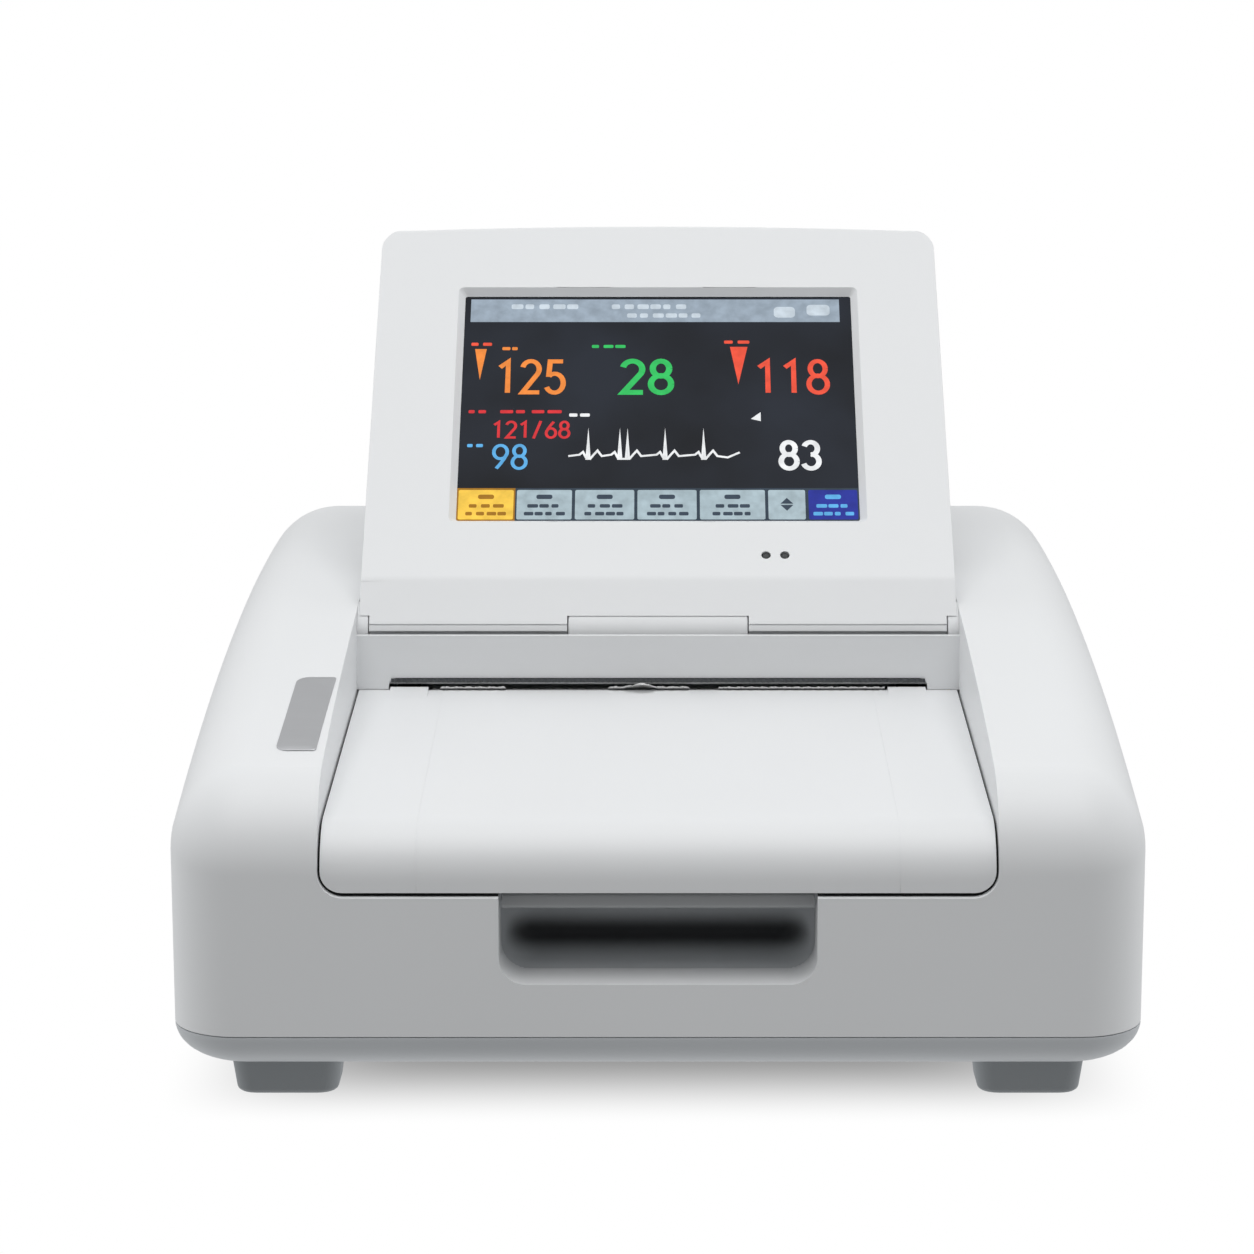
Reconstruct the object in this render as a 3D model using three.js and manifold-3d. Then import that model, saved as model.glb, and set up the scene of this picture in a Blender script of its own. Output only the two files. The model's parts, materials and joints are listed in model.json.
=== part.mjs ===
import * as THREE from "three";
import { mergeVertices } from "three/addons/utils/BufferGeometryUtils.js";
import Module from "manifold-3d";

// A table-top cardiotocograph: a monitor that records a baby's heart rate and the mother's contractions.
// A wedge-shaped plastic housing carries a tilting touch display, a sliding paper drawer with a thermal
// printer behind it, and sockets for the transducers. Millimetres, +Z up, the front towards -Y. The origin
// is on the table, under the middle of the housing.

const wasm = await Module();
wasm.setup();

// Driving dimensions of the whole device
const bodyWidth = 286;
const bodyDepth = 335;
const footHeight = 12;
const seamHeight = 24;
const shellWall = 3;
const fitGap = 0.3; // between touching pieces
const overrun = 5; // how far a cutting solid runs past the surface that it cuts
const roundSegments = 20; // facets of a full circle
const pinSegments = 10; // facets of a pin or a screw
const postSegments = 10;

// The crest of the housing climbs from the front, over the hinge ledge, to the rear
const crestFrontDistance = 20;
const crestLedgeDistance = 150;
const crestLedgeHeight = 121.4;
const crestFrontDrop = 22.4; // under the crest at the ledge
const crestFrontHeight = crestLedgeHeight - crestFrontDrop;
const crestRearInset = 35; // the third stated point, from the rear
const crestRearDistance = bodyDepth - crestRearInset;
const crestRearRise = 7.9; // over the crest at the ledge
const crestRearHeight = crestLedgeHeight + crestRearRise;
const shoulderRadius = 22;
const frontCornerRadius = 20;
const rearCornerRadius = 35;

// The bay between the two side rails holds the display behind and the paper drawer in front
const railWidth = 44.5;
const bayWidth = bodyWidth - 2 * railWidth;
const bayFloorDrop = 21.4; // under the crest at the ledge
const bayFloorHeight = crestLedgeHeight - bayFloorDrop;
const bayFloorThickness = 2.5;
const baySideWall = 2.5;
const bayRearLipThickness = 5;
const bayRearLipRise = 6; // above the floor of the bay
const bayRearLipHeight = bayFloorHeight + bayRearLipRise;
const ledgeDistance = 144.6;
const ledgeThickness = 2;
const ledgeDrop = 7.4; // under the crest
const ledgeHeight = crestLedgeHeight - ledgeDrop;
const slotInset = 10.5; // from the bay's walls
const slotWidth = bayWidth - 2 * slotInset;
const slotTopDrop = 0.1; // under the floor of the bay
const slotTopHeight = bayFloorHeight - slotTopDrop;
const slotCornerRadius = 2.5;
const sideGap = 0.7; // from the bay's walls to the display and to the drawer

// The drawer's outer form, with its heights under the floor of the bay
const drawerDrop = 33.1;
const coverSlopeDrop = 13.9;
const coverRearDrop = 4;
const drawerBottomHeight = bayFloorHeight - drawerDrop;
const coverSlopeHeight = bayFloorHeight - coverSlopeDrop;
const coverRearHeight = bayFloorHeight - coverRearDrop;
const coverThickness = 2.5;
const coverFrontSetback = 1.5;
const drawerGap = 0.8; // under the drawer and behind it
const deckThickness = 2.5;

// The display and its hinge
const hingeSetback = 13.4; // behind the ledge's face
const hingeDistance = ledgeDistance + hingeSetback;
const hingeRise = 12.8; // above the floor of the bay
const hingeHeight = bayFloorHeight + hingeRise;
const noseRadius = 10;
const faceOffset = 13.6; // from the hinge axis to the display's face
const chinRun = 11.8; // from the hinge axis to the bend of the chin, along the face
const displayEndGap = 0.2; // from the rear lip of the bay, when the display is level
const displayReach = bodyDepth - bayRearLipThickness - displayEndGap - hingeDistance; // from the hinge axis
const displayLength = displayReach - chinRun; // from the bend of the chin to the top edge
const displayTilt = THREE.MathUtils.degToRad(41.5);
const knuckleHalfWidth = 29.4;
const knuckleRadius = 11;
const hingePinRadius = 3;

// The thermal printer
const platenRadius = 7;
const platenSetback = 5.4; // behind the ledge's face
const platenDistance = ledgeDistance + platenSetback;
const platenDrop = 14; // under the floor of the bay
const platenHeight = bayFloorHeight - platenDrop;
const paperInset = 23.5; // from the bay's walls
const paperWidth = bayWidth - 2 * paperInset;

const half = (size) => size / 2;
const bodyHalf = half(bodyWidth);
const bayHalf = half(bayWidth);
const drawerHalf = bayHalf - sideGap;
const front = -half(bodyDepth);
const back = half(bodyDepth);
const at = (distanceFromFront) => front + distanceFromFront;
const deckTop = drawerBottomHeight - drawerGap;
const deckBottom = deckTop - deckThickness;
const bayFloorUnderside = bayFloorHeight - bayFloorThickness;
const ledgeBack = ledgeDistance + ledgeThickness;
const aboveAll = crestLedgeHeight + crestRearHeight; // a height that clears the whole housing

// Materials
const plastic = (color, roughness) => new THREE.MeshStandardMaterial({ color, roughness, metalness: 0 });
const metal = (color, roughness) => new THREE.MeshStandardMaterial({ color, roughness, metalness: 1 });
const whitePlastic = plastic(0xe4e5e6, 0.45);
const greyPlastic = plastic(0xa9adb0, 0.5);
const footPlastic = plastic(0x8b9093, 0.6);
const darkPlastic = plastic(0x2b2d30, 0.5);
const blackRubber = plastic(0x1c1c1e, 0.85);
const paperWhite = plastic(0xf4f3ef, 0.9);
const redPlastic = plastic(0xa8322c, 0.45);
const boardGreen = plastic(0x1f5b3a, 0.5);
const screenGlass = plastic(0x101318, 0.1);
const gearPlastic = plastic(0xe9e4d4, 0.5);
const steel = metal(0xb9bcc0, 0.35);
const aluminium = metal(0xc4c7cb, 0.4);
const brass = metal(0xc9a552, 0.35);

// Helpers that turn three.js geometry into solids, cut and join them, and name the meshes

function solid(geometry) {
  const bare = geometry.index ? geometry.toNonIndexed() : geometry.clone();
  for (const name of Object.keys(bare.attributes)) if (name !== "position") bare.deleteAttribute(name);
  const merged = mergeVertices(bare, 1e-4);
  const vertProperties = merged.attributes.position.array;
  const triVerts = new Uint32Array(merged.index.array);
  return new wasm.Manifold(new wasm.Mesh({ numProp: 3, vertProperties, triVerts }));
}

function join(first, ...others) {
  return others.reduce((sum, next) => sum.add(next), first);
}

function cut(first, ...others) {
  return others.reduce((rest, next) => rest.subtract(next), first);
}

function mesh(name, body, material) {
  const { vertProperties, triVerts, numProp } = body.getMesh();
  const geometry = new THREE.BufferGeometry();
  const position = new Float32Array((vertProperties.length / numProp) * 3);
  for (let i = 0; i < position.length / 3; i++) {
    for (let k = 0; k < 3; k++) position[3 * i + k] = vertProperties[numProp * i + k];
  }
  geometry.setAttribute("position", new THREE.BufferAttribute(position, 3));
  geometry.setIndex(Array.from(triVerts));
  const made = new THREE.Mesh(geometry, material);
  made.name = name;
  return made;
}

function box({ x, y, z }) {
  const geometry = new THREE.BoxGeometry(x[1] - x[0], y[1] - y[0], z[1] - z[0]);
  geometry.translate(half(x[0] + x[1]), half(y[0] + y[1]), half(z[0] + z[1]));
  return solid(geometry);
}

// A box whose top face is smaller or larger than its bottom face by a rim on each side.
function taperedBox({ x, y, z }, topRim) {
  const geometry = new THREE.BoxGeometry(x[1] - x[0], y[1] - y[0], z[1] - z[0]);
  const position = geometry.attributes.position;
  for (let i = 0; i < position.count; i++) {
    if (position.getZ(i) > 0) {
      position.setX(i, position.getX(i) + Math.sign(position.getX(i)) * topRim);
      position.setY(i, position.getY(i) + Math.sign(position.getY(i)) * topRim);
    }
  }
  geometry.translate(half(x[0] + x[1]), half(y[0] + y[1]), half(z[0] + z[1]));
  return solid(geometry);
}

const symmetric = (halfWidth) => [-halfWidth, halfWidth];
const yAxis = new THREE.Vector3(0, 1, 0);
const zAxis = new THREE.Vector3(0, 0, 1);
const xAxis = new THREE.Vector3(1, 0, 0);

function extrude(shape, depth, steps = 5) {
  return new THREE.ExtrudeGeometry(shape, { depth, bevelEnabled: false, curveSegments: steps });
}

// A section drawn in y and z, run from x[0] to x[1].
function prismX(shape, x, steps) {
  const geometry = extrude(shape, x[1] - x[0], steps);
  geometry.applyMatrix4(new THREE.Matrix4().makeBasis(yAxis, zAxis, xAxis));
  geometry.translate(x[0], 0, 0);
  return solid(geometry);
}

// A section drawn in x and z, run from y[0] to y[1].
function prismY(shape, y, steps) {
  const geometry = extrude(shape, y[1] - y[0], steps);
  geometry.applyMatrix4(new THREE.Matrix4().makeBasis(xAxis, zAxis, yAxis.clone().negate()));
  geometry.translate(0, y[1], 0);
  return solid(geometry);
}

// A plan drawn in x and y, run from z[0] to z[1].
function prismZ(shape, z, steps) {
  const geometry = extrude(shape, z[1] - z[0], steps);
  geometry.translate(0, 0, z[0]);
  return solid(geometry);
}

// A round bar along X, Y or Z, from one end to the other, with its axis through the other two places.
function bar(axis, radius, span, first, second, segments = roundSegments) {
  const geometry = new THREE.CylinderGeometry(radius, radius, span[1] - span[0], segments);
  const middle = half(span[0] + span[1]);
  if (axis === "x") geometry.rotateZ(half(Math.PI)).translate(middle, first, second);
  if (axis === "y") geometry.translate(first, middle, second);
  if (axis === "z") geometry.rotateX(half(Math.PI)).translate(first, second, middle);
  return solid(geometry);
}

function outline(points) {
  return new THREE.Shape(points.map(([x, y]) => new THREE.Vector2(x, y)));
}

// A rectangle with its own radius at each corner: low left, low right, high right, high left.
function roundedRectangle([x0, x1], [y0, y1], radii) {
  const [a, b, c, d] = Array.isArray(radii) ? radii : [radii, radii, radii, radii];
  const quarter = half(Math.PI);
  const shape = new THREE.Shape();
  const corner = (x, y, radius, start) => {
    if (radius > 0) shape.absarc(x, y, radius, start, start + quarter, false);
    else shape.lineTo(x, y);
  };
  shape.moveTo(x0 + a, y0);
  corner(x1 - b, y0 + b, b, -quarter);
  corner(x1 - c, y1 - c, c, 0);
  corner(x0 + d, y1 - d, d, quarter);
  corner(x0 + a, y0 + a, a, 2 * quarter);
  return shape;
}

// The housing's outer form. Every ring has the same points, so rings join into a closed loft.

const cornerSteps = 5;
const sideSteps = 6;
const shoulderSteps = 5;
const leastCornerRadius = 1;

// The height of the crest at a distance from the front: the parabola through its three stated points.
function crestHeight(distance) {
  const [a, b, c] = [crestFrontDistance, crestLedgeDistance, crestRearDistance];
  const shareA = ((distance - b) * (distance - c)) / ((a - b) * (a - c));
  const shareB = ((distance - a) * (distance - c)) / ((b - a) * (b - c));
  const shareC = ((distance - a) * (distance - b)) / ((c - a) * (c - b));
  return crestFrontHeight * shareA + crestLedgeHeight * shareB + crestRearHeight * shareC;
}

// A plan ring, drawn in from the housing's outline by an inset at the sides and one at the ends.
function planRing({ side, end, frontRadius, rearRadius, height }) {
  const rightHalf = [];
  const x = bodyHalf - side;
  const [y0, y1] = [front + end, back - end];
  const quarter = half(Math.PI);
  for (let i = 0; i <= cornerSteps; i++) {
    const angle = (i / cornerSteps) * quarter - quarter;
    rightHalf.push([x + frontRadius * (Math.cos(angle) - 1), y0 + frontRadius * (Math.sin(angle) + 1)]);
  }
  for (let i = 1; i < sideSteps; i++) {
    const share = i / sideSteps;
    rightHalf.push([x, (y0 + frontRadius) * (1 - share) + (y1 - rearRadius) * share]);
  }
  for (let i = 0; i <= cornerSteps; i++) {
    const angle = (i / cornerSteps) * quarter;
    rightHalf.push([x + rearRadius * (Math.cos(angle) - 1), y1 + rearRadius * (Math.sin(angle) - 1)]);
  }
  const leftHalf = rightHalf.map(([px, py]) => [-px, py]).reverse();
  return [...rightHalf, ...leftHalf].map(([px, py]) => [px, py, height(py - front)]);
}

// Joins rings from bottom to top. Each ring is symmetric in x, so its caps are rungs from side to side.
function loft(rings) {
  const count = rings[0].length;
  const positions = [];
  const triangle = (a, b, c) => positions.push(...a, ...b, ...c);
  const quad = (a, b, c, d) => {
    triangle(a, b, c);
    triangle(a, c, d);
  };
  for (let k = 0; k + 1 < rings.length; k++) {
    for (let i = 0; i < count; i++) {
      const j = (i + 1) % count;
      quad(rings[k][i], rings[k][j], rings[k + 1][j], rings[k + 1][i]);
    }
  }
  const [bottom, top] = [rings[0], rings[rings.length - 1]];
  for (let i = 0; i + 1 < count / 2; i++) {
    const mirror = count - 1 - i;
    quad(top[mirror], top[i], top[i + 1], top[mirror - 1]);
    quad(bottom[i], bottom[mirror], bottom[mirror - 1], bottom[i + 1]);
  }
  const geometry = new THREE.BufferGeometry();
  geometry.setAttribute("position", new THREE.Float32BufferAttribute(positions, 3));
  return solid(geometry);
}

// A corner radius that shrinks as its ring is drawn in.
const shrunkRadius = (radius, inset) => Math.max(radius - inset, leastCornerRadius);

// The housing's form, drawn in on every side by a wall: zero gives its outside.
function housingForm(wall, bottomHeight, steps) {
  const ring = (inset, drop) =>
    planRing({
      side: wall + inset,
      end: wall + inset,
      frontRadius: shrunkRadius(frontCornerRadius, wall + inset),
      rearRadius: shrunkRadius(rearCornerRadius, wall + inset),
      height: (distance) => crestHeight(distance) - wall - drop,
    });
  const rings = [ring(0, shoulderRadius).map(([x, y]) => [x, y, bottomHeight])];
  for (let k = 0; k <= steps; k++) {
    const angle = (k / steps) * half(Math.PI);
    rings.push(ring(shoulderRadius * (1 - Math.cos(angle)), shoulderRadius * (1 - Math.sin(angle))));
  }
  return loft(rings);
}

// Front finger pocket, under the drawer: a scoop with a flat lip and rounded lower corners
const pocketHalfWidth = 46.2;
const pocketFloorShare = 0.3683; // of the way from the seam to the drawer
const pocketDeepestShare = 0.6993;
const betweenSeamAndDrawer = (share) => seamHeight + share * (drawerBottomHeight - seamHeight);
const pocketFloorHeight = betweenSeamAndDrawer(pocketFloorShare);
const pocketDeepestHeight = betweenSeamAndDrawer(pocketDeepestShare);
const pocketCornerRadius = 8;
const pocketLipDepth = 13;
const pocketDepth = 24;

function pocketSpace() {
  const cornerRadii = [pocketCornerRadius, pocketCornerRadius, 0, 0];
  const rise = [pocketFloorHeight, deckTop + overrun];
  const facing = roundedRectangle(symmetric(pocketHalfWidth), rise, cornerRadii);
  const section = new THREE.Shape();
  section.moveTo(front - overrun, pocketFloorHeight);
  section.lineTo(at(pocketLipDepth), pocketFloorHeight);
  section.quadraticCurveTo(at(pocketDepth), pocketFloorHeight, at(pocketDepth), pocketDeepestHeight);
  section.lineTo(at(pocketDepth), deckTop + overrun);
  section.lineTo(front - overrun, deckTop + overrun);
  const scoop = prismX(section, symmetric(pocketHalfWidth + overrun));
  return prismY(facing, [front - overrun, at(pocketDepth) + overrun]).intersect(scoop);
}

function pocketBlock() {
  return box({
    x: symmetric(pocketHalfWidth + shellWall),
    y: [front, at(pocketDepth) + shellWall],
    z: [pocketFloorHeight - shellWall, deckTop],
  });
}

// Display bay, drawer well and paper compartment
const wellCornerRadius = 7;
const compartmentInset = 65; // from the rear
const compartmentLength = bodyDepth - compartmentInset; // the deck's rear end, from the front

function bayLiner(outside) {
  const linerHalf = bayHalf + baySideWall;
  const aroundBay = { x: symmetric(linerHalf), y: [at(ledgeDistance), back], z: [coverRearHeight, aboveAll] };
  const aroundWell = { x: symmetric(linerHalf), y: [front, at(ledgeDistance)], z: [deckBottom, aboveAll] };
  const compartment = {
    x: symmetric(linerHalf),
    y: [at(ledgeDistance), at(compartmentLength) + baySideWall],
    z: [deckBottom, bayFloorHeight],
  };
  return join(box(aroundBay), box(aroundWell), box(compartment)).intersect(outside);
}

function baySpace() {
  const lipFront = back - bayRearLipThickness;
  const display = box({ x: symmetric(bayHalf), y: [at(ledgeBack), lipFront], z: [bayFloorHeight, aboveAll] });
  const overLip = box({
    x: symmetric(bayHalf),
    y: [lipFront - overrun, back + overrun],
    z: [bayRearLipHeight, aboveAll],
  });
  const overLedge = box({
    x: symmetric(bayHalf),
    y: [at(ledgeDistance) - overrun, at(ledgeBack) + overrun],
    z: [ledgeHeight, aboveAll],
  });
  const underFloor = box({
    x: symmetric(bayHalf),
    y: [at(compartmentLength) + baySideWall, back - bayRearLipThickness],
    z: [coverRearHeight - overrun, bayFloorUnderside],
  });
  return join(display, overLip, overLedge, underFloor);
}

function wellSpace() {
  const cornerRadii = [wellCornerRadius, wellCornerRadius, 0, 0];
  const opening = roundedRectangle(symmetric(bayHalf), [deckTop, aboveAll], cornerRadii);
  const well = prismY(opening, [front - overrun, at(ledgeDistance)]);
  const underLedge = box({
    x: symmetric(bayHalf),
    y: [at(ledgeDistance) - overrun, at(ledgeBack)],
    z: [deckTop, coverRearHeight],
  });
  const compartment = box({
    x: symmetric(bayHalf),
    y: [at(ledgeBack) - fitGap, at(compartmentLength)],
    z: [deckTop, bayFloorUnderside],
  });
  return join(well, underLedge, compartment);
}

function paperSlot() {
  const cornerRadii = [0, 0, slotCornerRadius, slotCornerRadius];
  const opening = roundedRectangle(
    symmetric(half(slotWidth)),
    [coverRearHeight - overrun, slotTopHeight],
    cornerRadii,
  );
  return prismY(opening, [at(ledgeDistance) - overrun, at(ledgeBack)]);
}

// Ears on the bay's walls and a block in the middle carry the display's two hinge pins
const earRadius = 6.5;
const earLength = 3.4;
const pinClearance = 0.3;

function hingeEar(side) {
  const span = [bayHalf - earLength, bayHalf + half(baySideWall)].map((x) => side * x).sort((a, b) => a - b);
  const bore = [bayHalf - earLength - overrun, bayHalf].map((x) => side * x).sort((a, b) => a - b);
  return {
    boss: bar("x", earRadius, span, at(hingeDistance), hingeHeight),
    bore: bar("x", hingePinRadius + pinClearance, bore, at(hingeDistance), hingeHeight, pinSegments),
  };
}

// Transducer sockets, on the right side, in a recessed panel behind a window in the housing's wall
const socketCount = 4;
const socketPitch = 24;
const lastSocketInset = 54; // from the rear
const firstSocketDistance = bodyDepth - lastSocketInset - (socketCount - 1) * socketPitch;
const socketHeight = 58;
const socketWindowHeight = 34;
const socketWindowCorner = 6;
const panelThickness = 2.5;
const panelLap = 3; // how far a panel reaches behind the edge of its window
const socketWindow = {
  y: [
    at(firstSocketDistance) - half(socketPitch),
    at(firstSocketDistance) + (socketCount - half(1)) * socketPitch,
  ],
  z: [socketHeight - half(socketWindowHeight), socketHeight + half(socketWindowHeight)],
};
const socketPanelFace = bodyHalf - shellWall - fitGap;

// Rear panel with the mains inlet, the earth stud and the interface sockets, behind its window
const rearWindowInset = 51; // from the sides
const rearWindowHalfWidth = bodyHalf - rearWindowInset;
const rearWindowLow = 10; // above the seam
const rearWindowHigh = 12; // under the floor of the bay
const rearWindowRise = [seamHeight + rearWindowLow, bayFloorHeight - rearWindowHigh];
const rearWindowCorner = 5;
const rearPanelFace = back - shellWall - fitGap;
const rearBossSize = 13;
const rearBossDepth = 12;

function rearBosses() {
  const bosses = [];
  for (const side of [-1, 1]) {
    for (const level of [0, 1]) {
      const outer = rearWindowHalfWidth + panelLap + shellWall;
      const x = [outer - rearBossSize - shellWall, outer].map((place) => side * place).sort((a, b) => a - b);
      const edge = rearWindowRise[level] + (level ? panelLap : -panelLap);
      const z = [edge, edge + (level ? -rearBossSize : rearBossSize)].sort((a, b) => a - b);
      bosses.push(box({ x, y: [rearPanelFace - rearBossDepth, back - shellWall + fitGap], z }));
    }
  }
  return bosses;
}

function rearPanelSeat() {
  const margin = panelLap + fitGap;
  return box({
    x: symmetric(rearWindowHalfWidth + margin),
    y: [rearPanelFace - panelThickness - fitGap, back - shellWall],
    z: [rearWindowRise[0] - margin, rearWindowRise[1] + margin],
  });
}

// Posts inside the housing take the screws that hold the base tray
const postRadius = 4.5;
const postInset = { side: 25, front: 42, rear: 23 };
const postHalfSpacing = bodyHalf - postInset.side;
const postDistances = [postInset.front, bodyDepth - postInset.rear];
const screwShankRadius = 1.5;
const screwHeadRadius = 3;
const screwHeadHeight = 2;
const screwClearance = 0.3;
const screwBoreDepth = 14;
const trayFloor = 2.5;
const postPlaces = [-1, 1].flatMap((side) =>
  postDistances.map((distance) => [side * postHalfSpacing, at(distance)]),
);

// Places of the gear train that drives the platen: centres in a row, at the platen's height
const gearModule = 1;
const platenTeeth = 16;
const driveTeeth = 16;
const pinionTeeth = 14;
const centreSlack = 0.2;
const gearInset = { inner: 7.9, outer: 3.5 }; // from the bay's right wall
const gearFace = [bayHalf - gearInset.inner, bayHalf - gearInset.outer];
const centreDistance = (first, second) => half((first + second) * gearModule) + centreSlack;
const driveGearDistance = platenDistance + centreDistance(platenTeeth, driveTeeth);
const motorDistance = driveGearDistance + centreDistance(driveTeeth, pinionTeeth);
const motorPilotRadius = 9;
const axleRadius = 1.5;

function webHoles() {
  const through = [bayHalf - overrun, bayHalf + baySideWall + overrun];
  return [
    bar("x", motorPilotRadius + fitGap, through, at(motorDistance), platenHeight),
    bar("x", axleRadius + screwClearance, through, at(driveGearDistance), platenHeight, pinSegments),
  ];
}

// The display's latch button passes through the floor of the bay, in front of its rear lip
const latchHalfWidth = 12;
const latchDepth = 6;
const latchTravel = 3;
const latchRise = 6.7; // above the floor of the bay
const latchStem = latchTravel; // below the floor of the bay, as far as the button is pressed
const latchSpan = [back - bayRearLipThickness - fitGap - latchDepth, back - bayRearLipThickness - fitGap];

function latchHole() {
  return box({
    x: symmetric(latchHalfWidth + fitGap),
    y: [latchSpan[0] - fitGap, back - bayRearLipThickness],
    z: [bayFloorUnderside - overrun, bayFloorHeight + overrun],
  });
}

// Upper housing: one moulding with the rails, the ledge over the slot, the bay and the paper compartment
const housingBottom = seamHeight;

function upperHousing() {
  const outside = housingForm(0, housingBottom, shoulderSteps);
  const inside = housingForm(shellWall, housingBottom - overrun, shoulderSteps);
  const ears = [-1, 1].map(hingeEar);
  const posts = postPlaces.map(([x, y]) =>
    bar("z", postRadius, [housingBottom, aboveAll], x, y, postSegments),
  );
  const postBores = postPlaces.map(([x, y]) =>
    bar("z", screwShankRadius + screwClearance, [0, housingBottom + screwBoreDepth], x, y, pinSegments),
  );
  const postsInside = posts.map((post) => post.intersect(outside));
  const blocks = join(bayLiner(outside), pocketBlock().intersect(outside), ...rearBosses(), ...postsInside);
  const shell = join(cut(outside, inside), blocks);
  const sideWindow = roundedRectangle(socketWindow.y, socketWindow.z, socketWindowCorner);
  const rearWindow = roundedRectangle(symmetric(rearWindowHalfWidth), rearWindowRise, rearWindowCorner);
  const body = cut(
    join(cut(shell, baySpace(), wellSpace(), paperSlot()), ...ears.map((ear) => ear.boss)),
    ...ears.map((ear) => ear.bore),
    pocketSpace(),
    latchHole(),
    rearPanelSeat(),
    ...rearScrewBores(),
    ...postBores,
    ...webHoles(),
    prismX(sideWindow, [bodyHalf - shellWall - overrun, bodyHalf + overrun]),
    prismY(rearWindow, [back - shellWall - overrun, back + overrun]),
  );
  return mesh("upper_housing", body, whitePlastic);
}

// Base tray: the shallow lower moulding, with a rounded lower edge, loudspeaker slots and screw holes
const traySweep = 18; // how far the lower edge is drawn in
const trayRoundHeight = 12;
const traySteps = 4;
const trayBottom = footHeight;
const trayTop = seamHeight - fitGap;
const speakerDistance = 92;
const speakerInset = 58; // from the left side
const speakerOffset = speakerInset - bodyHalf;
const speakerRadius = 20;
const speakerSlotWidth = 3;
const speakerSlotPitch = 7;
const speakerSlotCount = 5;

function trayForm(wall, bottomHeight, topHeight) {
  const ring = (inset, height) =>
    planRing({
      side: wall + inset,
      end: wall + inset,
      frontRadius: shrunkRadius(frontCornerRadius, wall + inset),
      rearRadius: shrunkRadius(rearCornerRadius, wall + inset),
      height: () => height,
    });
  const rings = [];
  for (let k = 0; k <= traySteps; k++) {
    const angle = (k / traySteps) * half(Math.PI);
    const rise = trayRoundHeight * (1 - Math.cos(angle));
    rings.push(ring(traySweep * (1 - Math.sin(angle)), Math.min(bottomHeight + rise, topHeight)));
  }
  if (bottomHeight + trayRoundHeight < topHeight) rings.push(ring(0, topHeight));
  return loft(rings);
}

function baseTray() {
  const outside = trayForm(0, trayBottom, trayTop);
  const inside = trayForm(shellWall, trayBottom + trayFloor, trayTop + overrun);
  const slots = Array.from({ length: speakerSlotCount }, (_, i) => {
    const x = speakerOffset + (i - half(speakerSlotCount - 1)) * speakerSlotPitch;
    const reach = Math.sqrt(speakerRadius ** 2 - (x - speakerOffset) ** 2) - speakerSlotWidth;
    return box({
      x: [x - half(speakerSlotWidth), x + half(speakerSlotWidth)],
      y: [at(speakerDistance) - reach, at(speakerDistance) + reach],
      z: [trayBottom - overrun, trayBottom + trayFloor + overrun],
    });
  });
  const seats = postPlaces.map(([x, y]) => bar("z", postRadius, [trayBottom, trayTop], x, y, postSegments));
  const headHoles = postPlaces.map(([x, y]) =>
    bar("z", screwHeadRadius + screwClearance, [0, screwHeadLevel + fitGap], x, y, postSegments),
  );
  const shankHoles = postPlaces.map(([x, y]) =>
    bar("z", screwShankRadius + screwClearance, [0, trayTop + overrun], x, y, pinSegments),
  );
  return mesh(
    "base_tray",
    cut(join(cut(outside, inside), ...seats), ...slots, ...headHoles, ...shankHoles),
    greyPlastic,
  );
}

// Screws: a flat round head and a plain shank, turned as one profile
const screwHeadLevel = trayBottom + trayFloor + screwHeadHeight;

function screwForm(length) {
  const profile = [
    [0, 0],
    [screwHeadRadius, 0],
    [screwHeadRadius, screwHeadHeight],
    [screwShankRadius, screwHeadHeight],
    [screwShankRadius, screwHeadHeight + length],
    [0, screwHeadHeight + length],
  ];
  return new THREE.LatheGeometry(outline(profile).getPoints(), pinSegments);
}

function turned(geometry, axis) {
  const upright = geometry.clone().rotateX(half(Math.PI));
  if (axis === "z") return upright;
  if (axis === "y") return upright.rotateX(half(Math.PI));
  return upright.rotateY(half(Math.PI));
}

function placed(name, geometry, place, material) {
  const made = mesh(name, solid(geometry), material);
  made.position.set(...place);
  return made;
}

function baseScrews() {
  const shankLength = housingBottom + screwBoreDepth - screwHeadLevel - fitGap;
  const names = ["left_front", "left_rear", "right_front", "right_rear"];
  return postPlaces.map(([x, y], i) =>
    placed(
      `base_screw_${names[i]}`,
      turned(screwForm(shankLength), "z"),
      [x, y, screwHeadLevel - screwHeadHeight],
      steel,
    ),
  );
}

// Feet: four rubber blocks under the tray, narrower at the bottom
const footInset = 32.5; // from the sides to the middle of a foot
const footHalfSpacing = bodyHalf - footInset;
const footSteps = 3;
const footWidth = 33;
const footLength = 24;
const footFrontDistance = 18;
const footTaper = 1.5;
const footCorner = 5;
const footDistances = [footFrontDistance, bodyDepth - footFrontDistance - footLength];

function foot(name, x, distance) {
  const plan = roundedRectangle(
    [x - half(footWidth), x + half(footWidth)],
    [at(distance), at(distance + footLength)],
    footCorner,
  );
  const lower = taperedBox(
    {
      x: [x - half(footWidth) + footTaper, x + half(footWidth) - footTaper],
      y: [at(distance) + footTaper, at(distance + footLength) - footTaper],
      z: [0, footHeight - fitGap],
    },
    footTaper,
  );
  return mesh(name, prismZ(plan, [0, footHeight - fitGap], footSteps).intersect(lower), footPlastic);
}

function feet() {
  return [-1, 1].flatMap((side) =>
    footDistances.map((distance, i) =>
      foot(`foot_${side < 0 ? "left" : "right"}_${i ? "rear" : "front"}`, side * footHalfSpacing, distance),
    ),
  );
}

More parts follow.
